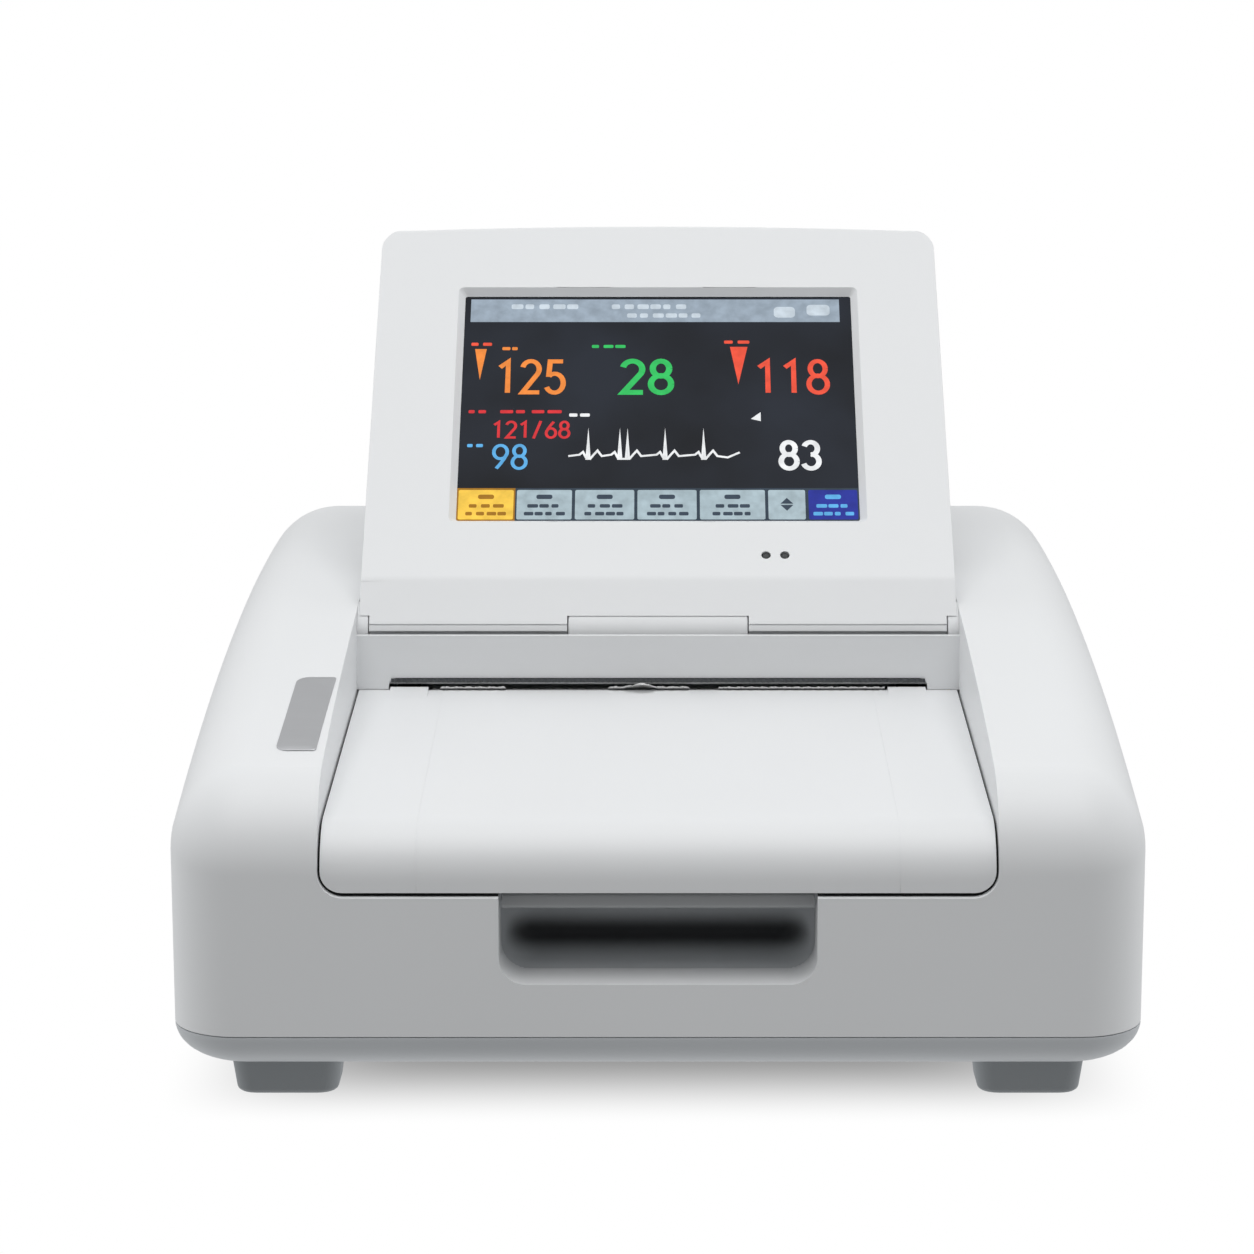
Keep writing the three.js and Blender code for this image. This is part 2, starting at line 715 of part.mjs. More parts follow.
// Chassis plate with standoffs, the main board, the power supply and the loudspeaker
const chassisInset = { side: 35, front: 50, rear: 35 };
const chassisHalfWidth = bodyHalf - chassisInset.side;
const chassisSpan = [chassisInset.front, bodyDepth - chassisInset.rear];
const chassisThickness = 1.5;
const chassisLevel = 20;
const chassisLegRadius = 5;
const chassisLegInset = 12;
const standoffRadius = 3;
const boardLevel = 29;
const boardThickness = 1.6;
const boardInset = { left: 50, right: 2, front: 16, rear: 64 }; // from the edges of the chassis plate
const boardSpan = [chassisSpan[0] + boardInset.front, chassisSpan[1] - boardInset.rear];
const boardMargin = 8;
const boardX = [boardInset.left - chassisHalfWidth, chassisHalfWidth - boardInset.right];

function chassisPlate() {
  const y = chassisSpan.map(at);
  const top = chassisLevel + chassisThickness;
  const plate = box({ x: symmetric(chassisHalfWidth), y, z: [chassisLevel, top] });
  const legs = [-1, 1].flatMap((side) =>
    [y[0] + chassisLegInset, y[1] - chassisLegInset].map((place) =>
      bar(
        "z",
        chassisLegRadius,
        [trayBottom + trayFloor + fitGap, top],
        side * (chassisHalfWidth - chassisLegInset),
        place,
        postSegments,
      ),
    ),
  );
  const standoffs = boardX.flatMap((x, i) =>
    boardSpan.map((distance, j) =>
      bar(
        "z",
        standoffRadius,
        [chassisLevel, boardLevel - fitGap],
        x + (i ? -boardMargin : boardMargin),
        at(distance) + (j ? -boardMargin : boardMargin),
        postSegments,
      ),
    ),
  );
  const speakerHole = bar(
    "z",
    speakerRadius + fitGap + chassisThickness,
    [chassisLevel - overrun, top + overrun],
    speakerOffset,
    at(speakerDistance),
  );
  return mesh("chassis_plate", cut(join(plate, ...legs, ...standoffs), speakerHole), aluminium);
}

// Components on the main board: places as shares of the board, heights as shares of the room above it
const componentShares = [
  { x: [0.3, 0.48], y: [0.42, 0.6], rise: 0.09 },
  { x: [0.6, 0.92], y: [0.1, 0.24], rise: 0.36 },
  { x: [0.58, 0.8], y: [0.4, 0.66], rise: 0.08 },
  { x: [0.86, 0.96], y: [0.3, 0.9], rise: 0.27 },
  { x: [0.1, 0.24], y: [0.66, 0.94], rise: 0.42 },
];

function mainBoard() {
  const top = boardLevel + boardThickness;
  const [y0, y1] = boardSpan.map(at);
  const plate = box({ x: boardX, y: [y0, y1], z: [boardLevel, top] });
  const components = componentShares.map(({ x, y, rise }) =>
    box({
      x: x.map((share) => boardX[0] + share * (boardX[1] - boardX[0])),
      y: y.map((share) => y0 + share * (y1 - y0)),
      z: [boardLevel, top + rise * (deckBottom - top)],
    }),
  );
  return mesh("main_board", join(plate, ...components), boardGreen);
}

// Power supply: a finned block on the chassis plate, left of the board
const supplyInset = { side: 4, rear: 4, deck: 5.8 }; // from the chassis plate's edges and from the deck above
const supplyWidth = 40;
const supplyLength = 74;
const supplyRear = chassisSpan[1] - supplyInset.rear;
const supplyLeft = supplyInset.side - chassisHalfWidth;
const finCount = 9;
const finDepth = 4;
const grooveWidth = 3.7;

function powerSupply() {
  const x = [supplyLeft, supplyLeft + supplyWidth];
  const z = [chassisLevel + chassisThickness + fitGap, deckBottom - supplyInset.deck];
  const body = box({ x, y: [at(supplyRear - supplyLength), at(supplyRear)], z });
  const grooves = Array.from({ length: finCount }, (_, i) => {
    const y = at(supplyRear) - ((i + 1) / (finCount + 1)) * supplyLength;
    return box({
      x: [x[0] - overrun, x[1] + overrun],
      y: [y - half(grooveWidth), y + half(grooveWidth)],
      z: [z[1] - finDepth, z[1] + overrun],
    });
  });
  return mesh("power_supply", cut(body, ...grooves), aluminium);
}

// Loudspeaker: its frame rests on the tray's floor round the slots, its cone is open downwards
const speakerRim = 2;
const speakerMagnetRadius = 10;
const speakerHeights = { rim: 3, basket: 11, magnet: 18 };

function loudspeaker() {
  const profile = [
    [0, speakerHeights.basket - speakerRim],
    [speakerRadius - 2 * speakerRim, 0],
    [speakerRadius, 0],
    [speakerRadius, speakerHeights.rim],
    [speakerMagnetRadius, speakerHeights.basket],
    [speakerMagnetRadius, speakerHeights.magnet],
    [0, speakerHeights.magnet],
  ];
  const geometry = new THREE.LatheGeometry(outline(profile).getPoints(), roundSegments);
  const level = trayBottom + trayFloor + fitGap;
  return placed(
    "loudspeaker",
    turned(geometry, "z"),
    [speakerOffset, at(speakerDistance), level],
    darkPlastic,
  );
}

// Connector panel and its sockets on the right side
const socketFlange = { radius: 10.6, thickness: 1.6 };
const socketBodyRadius = 8.7;
const socketBoreRadius = 6;
const socketBoreDepth = 12;
const socketBodyLength = 17;
const socketPlaces = Array.from({ length: socketCount }, (_, i) => at(firstSocketDistance + i * socketPitch));

function connectorPanel() {
  const plan = roundedRectangle(
    [socketWindow.y[0] - panelLap, socketWindow.y[1] + panelLap],
    [socketWindow.z[0] - panelLap, socketWindow.z[1] + panelLap],
    socketWindowCorner,
  );
  const plate = prismX(plan, [socketPanelFace - panelThickness, socketPanelFace]);
  const through = [socketPanelFace - panelThickness - overrun, socketPanelFace + overrun];
  const holes = socketPlaces.map((y) => bar("x", socketBodyRadius + fitGap, through, y, socketHeight));
  return mesh("connector_panel", cut(plate, ...holes), greyPlastic);
}

function transducerSocket(index) {
  const { radius, thickness } = socketFlange;
  const profile = [
    [0, -socketBodyLength],
    [socketBodyRadius, -socketBodyLength],
    [socketBodyRadius, 0],
    [radius, 0],
    [radius, thickness],
    [socketBoreRadius, thickness],
    [socketBoreRadius, thickness - socketBoreDepth],
    [0, thickness - socketBoreDepth],
  ];
  const geometry = new THREE.LatheGeometry(outline(profile).getPoints(), roundSegments);
  const place = [socketPanelFace + fitGap, socketPlaces[index], socketHeight];
  return placed(
    `transducer_socket_${index + 1}`,
    turned(geometry, "x"),
    place,
    index % 2 ? redPlastic : darkPlastic,
  );
}

// Rear panel and what it carries
const rearPanelLevel = half(rearWindowRise[0] + rearWindowRise[1]);
// Places on the rear panel, as shares of its window's half width
const rearPanelShares = { inlet: -0.63, stud: -0.152, interfaces: [0.261, 0.543] };
const inletCentre = { x: rearPanelShares.inlet * rearWindowHalfWidth, z: rearPanelLevel };
const inletOpening = { x: 24, z: 16.4, depth: 15, corner: 2 };
const inletFlange = { x: 31, z: 24, thickness: 2, corner: 3 };
const inletPins = { x: 2, z: 4, pitch: 7, drop: 4, length: 9 };
const inletWall = 1.2;
const interfacePlaces = rearPanelShares.interfaces.map((share) => share * rearWindowHalfWidth);
const interfaceOuter = { x: 18, z: 16, depth: 14 };
const interfaceOpening = { x: 12, z: 9, depth: 11 };
const studPlace = rearPanelShares.stud * rearWindowHalfWidth;
const stud = { x: studPlace, z: rearPanelLevel, radius: 3, length: 9, collarRadius: 5.5, collarLength: 2 };
const rearScrewInset = { x: 6, z: 6 };
const rearScrewPlaces = [-1, 1].flatMap((side) =>
  [rearWindowRise[0] + rearScrewInset.z, rearWindowRise[1] - rearScrewInset.z].map((z) => [
    side * (rearWindowHalfWidth - rearScrewInset.x),
    z,
  ]),
);
const rearScrewLength = panelThickness + rearBossDepth - overrun;

function rearScrewBores() {
  const depth = [rearPanelFace - rearScrewLength - fitGap, back + overrun];
  return rearScrewPlaces.map(([x, z]) =>
    bar("y", screwShankRadius + screwClearance, depth, x, z, pinSegments),
  );
}

// A rectangular space in x and z round a centre, with rounded corners, from one y to another
function rectangleY({ x, z }, { x: width, z: height, corner = 0 }, y, grow = 0) {
  const wide = [x - half(width) - grow, x + half(width) + grow];
  const high = [z - half(height) - grow, z + half(height) + grow];
  if (!corner) return box({ x: wide, y, z: high });
  return prismY(roundedRectangle(wide, high, corner), y, footSteps);
}

function rearPanel() {
  const lap = {
    x: 2 * (rearWindowHalfWidth + panelLap),
    z: rearWindowRise[1] - rearWindowRise[0] + 2 * panelLap,
  };
  const middle = { x: 0, z: rearPanelLevel };
  const plate = rectangleY(
    middle,
    { ...lap, corner: rearWindowCorner },
    [rearPanelFace - panelThickness, rearPanelFace],
  );
  const through = [rearPanelFace - panelThickness - overrun, rearPanelFace + overrun];
  const inletHole = rectangleY(inletCentre, inletOpening, through, inletWall + 2 * fitGap);
  const interfaceHoles = interfacePlaces.map((x) =>
    rectangleY({ x, z: rearPanelLevel }, interfaceOuter, through, fitGap),
  );
  const studHole = bar("y", stud.radius + screwClearance, through, stud.x, stud.z, pinSegments);
  return mesh(
    "rear_panel",
    cut(plate, inletHole, ...interfaceHoles, studHole, ...rearScrewBores()),
    greyPlastic,
  );
}

function mainsInlet() {
  const face = rearPanelFace + fitGap;
  const flange = rectangleY(inletCentre, inletFlange, [face, face + inletFlange.thickness]);
  const behind = face - inletOpening.depth - inletWall;
  const body = rectangleY(
    inletCentre,
    inletOpening,
    [behind, face + inletFlange.thickness],
    inletWall + fitGap,
  );
  const opening = rectangleY(
    inletCentre,
    inletOpening,
    [face + inletFlange.thickness - inletOpening.depth, face + inletFlange.thickness + overrun],
  );
  const pinRoot = face + inletFlange.thickness - inletOpening.depth - half(inletWall);
  const pins = [-1, 0, 1].map((i) =>
    rectangleY(
      {
        x: inletCentre.x + i * inletPins.pitch,
        z: inletCentre.z + (i ? -half(inletPins.drop) : half(inletPins.drop)),
      },
      inletPins,
      [pinRoot, pinRoot + inletPins.length],
    ),
  );
  return mesh("mains_inlet", join(cut(join(flange, body), opening), ...pins), darkPlastic);
}

function interfaceSocket(name, x) {
  const face = rearPanelFace + inletFlange.thickness;
  const middle = { x, z: rearPanelLevel };
  const body = rectangleY(middle, interfaceOuter, [face - interfaceOuter.depth, face]);
  const opening = rectangleY(middle, interfaceOpening, [face - interfaceOpening.depth, face + overrun]);
  return mesh(name, cut(body, opening), darkPlastic);
}

function earthStud() {
  const profile = [
    [0, -stud.length],
    [stud.radius, -stud.length],
    [stud.radius, 0],
    [stud.collarRadius, 0],
    [stud.collarRadius, stud.collarLength],
    [0, stud.collarLength],
  ];
  const geometry = new THREE.LatheGeometry(outline(profile).getPoints(), roundSegments);
  return placed(
    "earth_stud",
    turned(geometry, "y").rotateZ(Math.PI),
    [stud.x, rearPanelFace + fitGap, stud.z],
    brass,
  );
}

function rearScrews() {
  const names = ["left_low", "left_high", "right_low", "right_high"];
  const level = rearPanelFace + fitGap + screwHeadHeight;
  return rearScrewPlaces.map(([x, z], i) =>
    placed(
      `rear_screw_${names[i]}`,
      turned(screwForm(rearScrewLength - half(overrun)), "y"),
      [x, level, z],
      steel,
    ),
  );
}

// Paper drawer: the cover that shows, the tray behind it, and the platen, which rides on the tray
const coverFrontRadius = 16;
const coverSlopeDistance = 15; // where the slope's stated height is measured
const coverSlope = (coverRearHeight - coverSlopeHeight) / (ledgeDistance - coverSlopeDistance);
const coverCornerRadius = wellCornerRadius - sideGap;
const coverLineHeight = (distance) => coverSlopeHeight + coverSlope * (distance - coverSlopeDistance);
const coverSteps = 8;

// The cover's section, drawn in from its outside by a wall. Its foot stays open where it has a wall.
function coverSection(wall, rear, foot) {
  const tilt = Math.atan(coverSlope);
  const radius = coverFrontRadius - wall;
  const centreY = coverFrontSetback + coverFrontRadius;
  const centreZ = coverLineHeight(centreY) - coverFrontRadius / Math.cos(tilt);
  const shape = new THREE.Shape();
  shape.moveTo(at(coverFrontSetback + wall), foot);
  shape.lineTo(at(rear), foot);
  shape.lineTo(at(rear), coverLineHeight(rear) - wall / Math.cos(tilt));
  shape.absarc(at(centreY), centreZ, radius, half(Math.PI) + tilt, Math.PI, false);
  return shape;
}

function drawerCover() {
  const cornerRadii = [coverCornerRadius, coverCornerRadius, 0, 0];
  const rise = [drawerBottomHeight, coverRearHeight + overrun];
  const facing = prismY(roundedRectangle(symmetric(drawerHalf), rise, cornerRadii), [front, back]);
  const outside = prismX(
    coverSection(0, ledgeDistance - fitGap, drawerBottomHeight),
    symmetric(drawerHalf),
    coverSteps,
  );
  const insideHalf = drawerHalf - coverThickness;
  const inside = prismX(
    coverSection(coverThickness, ledgeDistance + overrun, drawerBottomHeight - overrun),
    symmetric(insideHalf),
    coverSteps,
  );
  return mesh("drawer_cover", cut(outside.intersect(facing), inside), whitePlastic);
}

// The tray's heights are above the drawer's bottom, and its rear end is drawn in from the compartment's
const trayRise = { floor: 1.3, frontWall: 5.1, lowWall: 11.1, wall: 16.1, cheek: 24.1, tongue: [4.1, 6.6] };
const trayFloorLevel = drawerBottomHeight + trayRise.floor;
const trayFloorThickness = 2;
const trayRearGap = 8;
const traySpan = [coverFrontSetback + coverThickness + fitGap, compartmentLength - trayRearGap];
const paperSideRoom = 3;
const trayHalf = half(paperWidth) + paperSideRoom;
const trayWall = 2;
const trayWallTop = drawerBottomHeight + trayRise.wall;
const trayFrontWallTop = drawerBottomHeight + trayRise.frontWall;
const trayLowWallTop = drawerBottomHeight + trayRise.lowWall;
const packSetback = 12; // behind the platen's axis
const compartmentFront = platenDistance + packSetback;
const tongueInset = 8.5; // from the bay's walls
const tongueFront = 100;
const tongue = {
  x: [trayHalf, bayHalf - tongueInset],
  y: [tongueFront, traySpan[1]],
  z: trayRise.tongue.map((rise) => drawerBottomHeight + rise),
};
const cheekGap = 2; // from the tray's side
const cheekThickness = 4;
const cheekReach = { front: 10, rear: 8 }; // from the platen's axis
const cheek = {
  x: [trayHalf + cheekGap, trayHalf + cheekGap + cheekThickness],
  y: [platenDistance - cheekReach.front, platenDistance + cheekReach.rear],
  z: [trayFloorLevel, drawerBottomHeight + trayRise.cheek],
};
const bushRadius = 3.7;
const lugThickness = 3;
const lugOffset = 26;
const lugRadius = 2.2;
const leverPinRadius = 1.2;
const leverPinDistance = 9.8;
const leverPinDrop = 1.9; // under the drawer's bottom
const leverPinHeight = drawerBottomHeight - leverPinDrop;

function bothSides(make) {
  return [-1, 1].map((side) => make((span) => span.map((x) => side * x).sort((a, b) => a - b)));
}

function drawerTray() {
  const [y0, y1] = traySpan.map(at);
  const floorTop = trayFloorLevel + trayFloorThickness;
  const floor = box({ x: symmetric(trayHalf), y: [y0, y1], z: [trayFloorLevel, floorTop] });
  const frontWall = box(
    { x: symmetric(trayHalf), y: [y0, y0 + trayWall], z: [trayFloorLevel, trayFrontWallTop] },
  );
  const rearWall = box({ x: symmetric(trayHalf), y: [y1 - trayWall, y1], z: [trayFloorLevel, trayWallTop] });
  const crossWall = box({
    x: symmetric(trayHalf),
    y: [at(cheek.y[0]) - trayWall, at(cheek.y[0])],
    z: [trayFloorLevel, platenHeight - platenRadius - fitGap],
  });
  const sides = bothSides((mirrored) =>
    join(
      box(
        {
          x: mirrored([trayHalf - trayWall, trayHalf]),
          y: [at(compartmentFront), y1],
          z: [trayFloorLevel, trayWallTop],
        },
      ),
      box({
        x: mirrored([trayHalf - trayWall, trayHalf]),
        y: [y0 + 2 * trayWall, at(compartmentFront) + fitGap],
        z: [trayFloorLevel, trayLowWallTop],
      }),
      box({ x: mirrored([trayHalf - trayWall, tongue.x[1]]), y: tongue.y.map(at), z: tongue.z }),
      cut(
        join(
          box({ x: mirrored(cheek.x), y: cheek.y.map(at), z: cheek.z }),
          box(
            {
              x: mirrored([trayHalf - trayWall, cheek.x[1]]),
              y: cheek.y.map(at),
              z: [trayFloorLevel, floorTop],
            },
          ),
        ),
        bar(
          "x",
          bushRadius + fitGap,
          mirrored([cheek.x[0] - overrun, cheek.x[1] + overrun]),
          at(platenDistance),
          platenHeight,
        ),
      ),
      join(
        box({
          x: mirrored([lugOffset, lugOffset + lugThickness]),
          y: [at(leverPinDistance) - lugRadius, at(leverPinDistance) + lugRadius],
          z: [leverPinHeight, trayFloorLevel + fitGap],
        }),
        bar(
          "x",
          lugRadius,
          mirrored([lugOffset, lugOffset + lugThickness]),
          at(leverPinDistance),
          leverPinHeight,
          postSegments,
        ),
      ),
    ),
  );
  const pinBore = bar(
    "x",
    leverPinRadius + fitGap,
    symmetric(lugOffset + lugThickness + overrun),
    at(leverPinDistance),
    leverPinHeight,
    pinSegments,
  );
  return mesh(
    "drawer_tray",
    cut(join(floor, frontWall, rearWall, crossWall, ...sides), pinBore),
    greyPlastic,
  );
}

// Release lever under the drawer's front edge, on its pin
const leverSideGap = 0.8;
const leverHalfWidth = pocketHalfWidth - leverSideGap;
const leverFrontDistance = 4.6;
const leverThickness = 2.6;
const leverDrop = { low: 5.5, high: 0.9, fingerLow: 3.3, fingerHigh: 1.3 }; // under the drawer's bottom
const leverRise = [drawerBottomHeight - leverDrop.low, drawerBottomHeight - leverDrop.high];
const leverCornerRadius = 1.2;
const leverFinger = {
  halfWidth: 9,
  y: 21,
  z: [drawerBottomHeight - leverDrop.fingerLow, drawerBottomHeight - leverDrop.fingerHigh],
};
const leverHubRadius = 2.4;

function releaseLever() {
  const flapShape = roundedRectangle(
    [at(leverFrontDistance), at(leverFrontDistance + leverThickness)],
    leverRise,
    [leverCornerRadius, 0, 0, leverCornerRadius],
  );
  const flap = prismX(flapShape, symmetric(leverHalfWidth), footSteps);
  const hubs = bothSides((mirrored) =>
    join(
      bar(
        "x",
        leverHubRadius,
        mirrored([lugOffset - lugThickness - fitGap, lugOffset - fitGap]),
        at(leverPinDistance),
        leverPinHeight,
      ),
      box({
        x: mirrored([lugOffset - lugThickness - fitGap, lugOffset - fitGap]),
        y: [at(leverFrontDistance + leverThickness) - fitGap, at(leverPinDistance)],
        z: leverFinger.z,
      }),
    ),
  );
  const finger = box({
    x: symmetric(leverFinger.halfWidth),
    y: [at(leverFrontDistance + leverThickness) - fitGap, at(leverFinger.y)],
    z: leverFinger.z,
  });
  const hub = bar(
    "x",
    leverHubRadius,
    symmetric(leverFinger.halfWidth),
    at(leverPinDistance),
    leverPinHeight,
  );
  const bore = bar(
    "x",
    leverPinRadius + fitGap,
    symmetric(lugOffset + overrun),
    at(leverPinDistance),
    leverPinHeight,
    pinSegments,
  );
  return mesh("drawer_release_lever", cut(join(flap, ...hubs, finger, hub), bore), greyPlastic);
}

function leverPin() {
  const span = symmetric(lugOffset + lugThickness);
  return mesh(
    "lever_pin",
    bar("x", leverPinRadius, span, at(leverPinDistance), leverPinHeight, pinSegments),
    steel,
  );
}

// Guide rails on the deck: channels, open inwards, that hold the tray's tongues
const railInset = { inner: 13.5, groove: 7.9, outer: 5.9 }; // from the bay's walls
const railFront = 60;
const railRearGap = 2;
const railRise = 9.5; // above the drawer's bottom
const guideRail = {
  x: [bayHalf - railInset.inner, bayHalf - railInset.outer],
  y: [railFront, compartmentLength - railRearGap],
  z: [deckTop + fitGap, drawerBottomHeight + railRise],
};
const railClearance = 0.4;

function guideRailPiece(name, side) {
  const spanOf = (span) => span.map((x) => side * x).sort((a, b) => a - b);
  const body = box({ x: spanOf(guideRail.x), y: guideRail.y.map(at), z: guideRail.z });
  const groove = box({
    x: spanOf([guideRail.x[0] - overrun, bayHalf - railInset.groove]),
    y: [at(guideRail.y[0]) - overrun, at(guideRail.y[1]) + overrun],
    z: [tongue.z[0] - railClearance, tongue.z[1] + railClearance],
  });
  return mesh(name, cut(body, groove), darkPlastic);
}

// Platen: a rubber roller on a steel shaft, in two bushes, with a gear outside the right cheek
const shaftRadius = 2;
const rollerOverlap = 1; // past each edge of the paper
const rollerHalf = half(paperWidth) + rollerOverlap;

function tube(axis, radii, span, first, second, segments) {
  const longer = [span[0] - overrun, span[1] + overrun];
  return cut(
    bar(axis, radii[1], span, first, second, segments),
    bar(axis, radii[0], longer, first, second, segments),
  );
}

function platenRoller() {
  const radii = [shaftRadius + fitGap, platenRadius];
  const body = tube("x", radii, symmetric(rollerHalf), at(platenDistance), platenHeight, roundSegments);
  return mesh("platen_roller", body, blackRubber);
}

function platenShaft() {
  const span = [-cheek.x[1] - fitGap - shaftRadius, gearFace[1]];
  return mesh("platen_shaft", bar("x", shaftRadius, span, at(platenDistance), platenHeight), steel);
}

function platenBush(name, side) {
  const span = cheek.x.map((x) => side * x).sort((a, b) => a - b);
  const radii = [shaftRadius + fitGap, bushRadius];
  return mesh(name, tube("x", radii, span, at(platenDistance), platenHeight, roundSegments), brass);
}

// Spur gears with involute flanks. Shares are of the module, and the slack is taken off each tooth's width.
const pressureAngle = THREE.MathUtils.degToRad(20);
const addendumShare = 0.9;
const dedendumShare = 1.15;
const toothSlack = 0.16;
const flankSteps = 2;

function gearShape(teeth, turn, centreY, centreZ) {
  const pitchRadius = half(teeth * gearModule);
  const baseRadius = pitchRadius * Math.cos(pressureAngle);
  const tipRadius = pitchRadius + addendumShare * gearModule;
  const rootRadius = pitchRadius - dedendumShare * gearModule;
  const roll = (angle) => Math.tan(angle) - angle;
  const flankAngle = (radius) => {
    const turned = roll(pressureAngle) - roll(Math.acos(Math.min(1, baseRadius / radius)));
    return half(Math.PI / teeth) - half(toothSlack) / pitchRadius + turned;
  };
  const firstRadius = Math.max(baseRadius, rootRadius);
  const points = [];
  for (let i = 0; i < teeth; i++) {
    const middle = turn + (i / teeth) * 2 * Math.PI;
    const flank = Array.from({ length: flankSteps + 1 }, (_, k) => {
      const radius = firstRadius + (k / flankSteps) * (tipRadius - firstRadius);
      return [radius, flankAngle(radius)];
    });
    const rising = [[rootRadius, flankAngle(firstRadius)], ...flank];
    if (rootRadius >= baseRadius) rising.shift();
    const tooth = [...rising.map(([r, a]) => [r, -a]), ...rising.reverse()];
    for (const [radius, angle] of tooth) {
      points.push([centreY + radius * Math.cos(middle + angle), centreZ + radius * Math.sin(middle + angle)]);
    }
  }
  return outline(points);
}

function gear(teeth, turn, distance, boreRadius) {
  const body = prismX(gearShape(teeth, turn, at(distance), platenHeight), gearFace);
  if (!boreRadius) return body;
  const bore = bar(
    "x",
    boreRadius,
    [gearFace[0] - overrun, gearFace[1] + overrun],
    at(distance),
    platenHeight,
    postSegments,
  );
  return cut(body, bore);
}

const platenGear = () => mesh(
  "platen_gear",
  gear(platenTeeth, 0, platenDistance, shaftRadius + fitGap),
  gearPlastic,
);
const driveGear = () =>
  mesh(
    "drive_gear",
    gear(driveTeeth, Math.PI / driveTeeth, driveGearDistance, axleRadius + fitGap),
    gearPlastic,
  );

const axleHead = 1;

function driveGearAxle() {
  const inner = gearFace[0] - fitGap;
  const shank = bar(
    "x",
    axleRadius,
    [inner, bayHalf + baySideWall],
    at(driveGearDistance),
    platenHeight,
    pinSegments,
  );
  const collar = bar(
    "x",
    2 * axleRadius,
    [gearFace[1] + fitGap, bayHalf - fitGap],
    at(driveGearDistance),
    platenHeight,
    pinSegments,
  );
  const clip = bar(
    "x",
    2 * axleRadius,
    [inner - axleHead, inner],
    at(driveGearDistance),
    platenHeight,
    pinSegments,
  );
  return mesh("drive_gear_axle", join(shank, collar, clip), steel);
}

// Motor: a square stepper outside the compartment's right wall, with its pinion and shaft inside
const motorSize = 35;
const motorLength = 34;
const motorCorner = 4;
const motorShaftRadius = 2.5;
const motorFace = bayHalf + baySideWall + fitGap;
const motorEndCap = 8;
const motorWaist = 1;

function stepperMotor() {
  const square = (size) =>
    roundedRectangle(
      [at(motorDistance) - half(size), at(motorDistance) + half(size)],
      [platenHeight - half(size), platenHeight + half(size)],
      motorCorner,
    );
  const caps = [
    [motorFace, motorFace + motorEndCap],
    [motorFace + motorLength - motorEndCap, motorFace + motorLength],
  ].map((x) => prismX(square(motorSize), x, footSteps));
  const core = prismX(square(motorSize - 2 * motorWaist), [motorFace, motorFace + motorLength], footSteps);
  const pilot = bar("x", motorPilotRadius, [bayHalf, motorFace + fitGap], at(motorDistance), platenHeight);
  const bore = bar(
    "x",
    motorShaftRadius + fitGap,
    [bayHalf - overrun, motorFace + motorEndCap + fitGap],
    at(motorDistance),
    platenHeight,
    pinSegments,
  );
  return mesh("stepper_motor", cut(join(core, ...caps, pilot), bore), darkPlastic);
}

function motorPinion() {
  const shaft = bar(
    "x",
    motorShaftRadius,
    [gearFace[0], motorFace + motorEndCap],
    at(motorDistance),
    platenHeight,
    pinSegments,
  );
  return mesh("motor_pinion", join(gear(pinionTeeth, 0, motorDistance), shaft), brass);
}

// Print head: a plate that touches the paper on the platen's rear, hung from the floor of the bay
const headAngle = THREE.MathUtils.degToRad(30);
const headGap = 0.6; // from the platen, for the paper
const headReach = 5.6; // along the plate, to each side of the contact
const headThickness = 4;
const headHalf = rollerHalf;
const bracketInset = 15; // from the edges of the paper
const bracketReach = { front: 11, rear: 18 }; // behind the platen's axis
const bracketDrop = 8; // under the floor of the bay
const headBracket = {
  y: [platenDistance + bracketReach.front, platenDistance + bracketReach.rear],
  halfWidth: half(paperWidth) - bracketInset,
  z: bayFloorHeight - bracketDrop,
};

function printHead() {
  const normal = [Math.cos(headAngle), Math.sin(headAngle)];
  const along = [-Math.sin(headAngle), Math.cos(headAngle)];
  const corner = (out, up) => [
    at(platenDistance) + (platenRadius + headGap + out) * normal[0] + up * along[0],
    platenHeight + (platenRadius + headGap + out) * normal[1] + up * along[1],
  ];
  const plate = prismX(
    outline(
      [
        corner(0, -headReach),
        corner(headThickness, -headReach),
        corner(headThickness, headReach),
        corner(0, headReach),
      ],
    ),
    symmetric(headHalf),
  );
  const bracket = box({
    x: symmetric(headBracket.halfWidth),
    y: [at(headBracket.y[0]), at(headBracket.y[1])],
    z: [headBracket.z, bayFloorUnderside - fitGap],
  });
  const underside = bayFloorUnderside - fitGap;
  const limit = box({ x: symmetric(headHalf), y: [front, back], z: [trayWallTop, underside] });
  const web = prismX(
    outline([
      corner(headThickness - fitGap, 0),
      [at(headBracket.y[0]) + fitGap, headBracket.z],
      [at(headBracket.y[0]) + fitGap, underside],
      corner(headThickness - fitGap, headReach),
    ]),
    symmetric(headBracket.halfWidth),
  );
  return mesh("print_head", join(plate, bracket, web).intersect(limit), aluminium);
}

// Tear edge: a toothed strip along the top of the paper slot
const tearEdgeInset = 2; // from the slot's ends
const tearEdgeDrop = { low: 1.4, high: 0.3 }; // under the slot's top
const tearEdge = {
  halfWidth: half(slotWidth) - tearEdgeInset,
  z: [slotTopHeight - tearEdgeDrop.low, slotTopHeight - tearEdgeDrop.high],
  pitch: 4,
  tooth: 1.2,
  lip: 0.7,
};

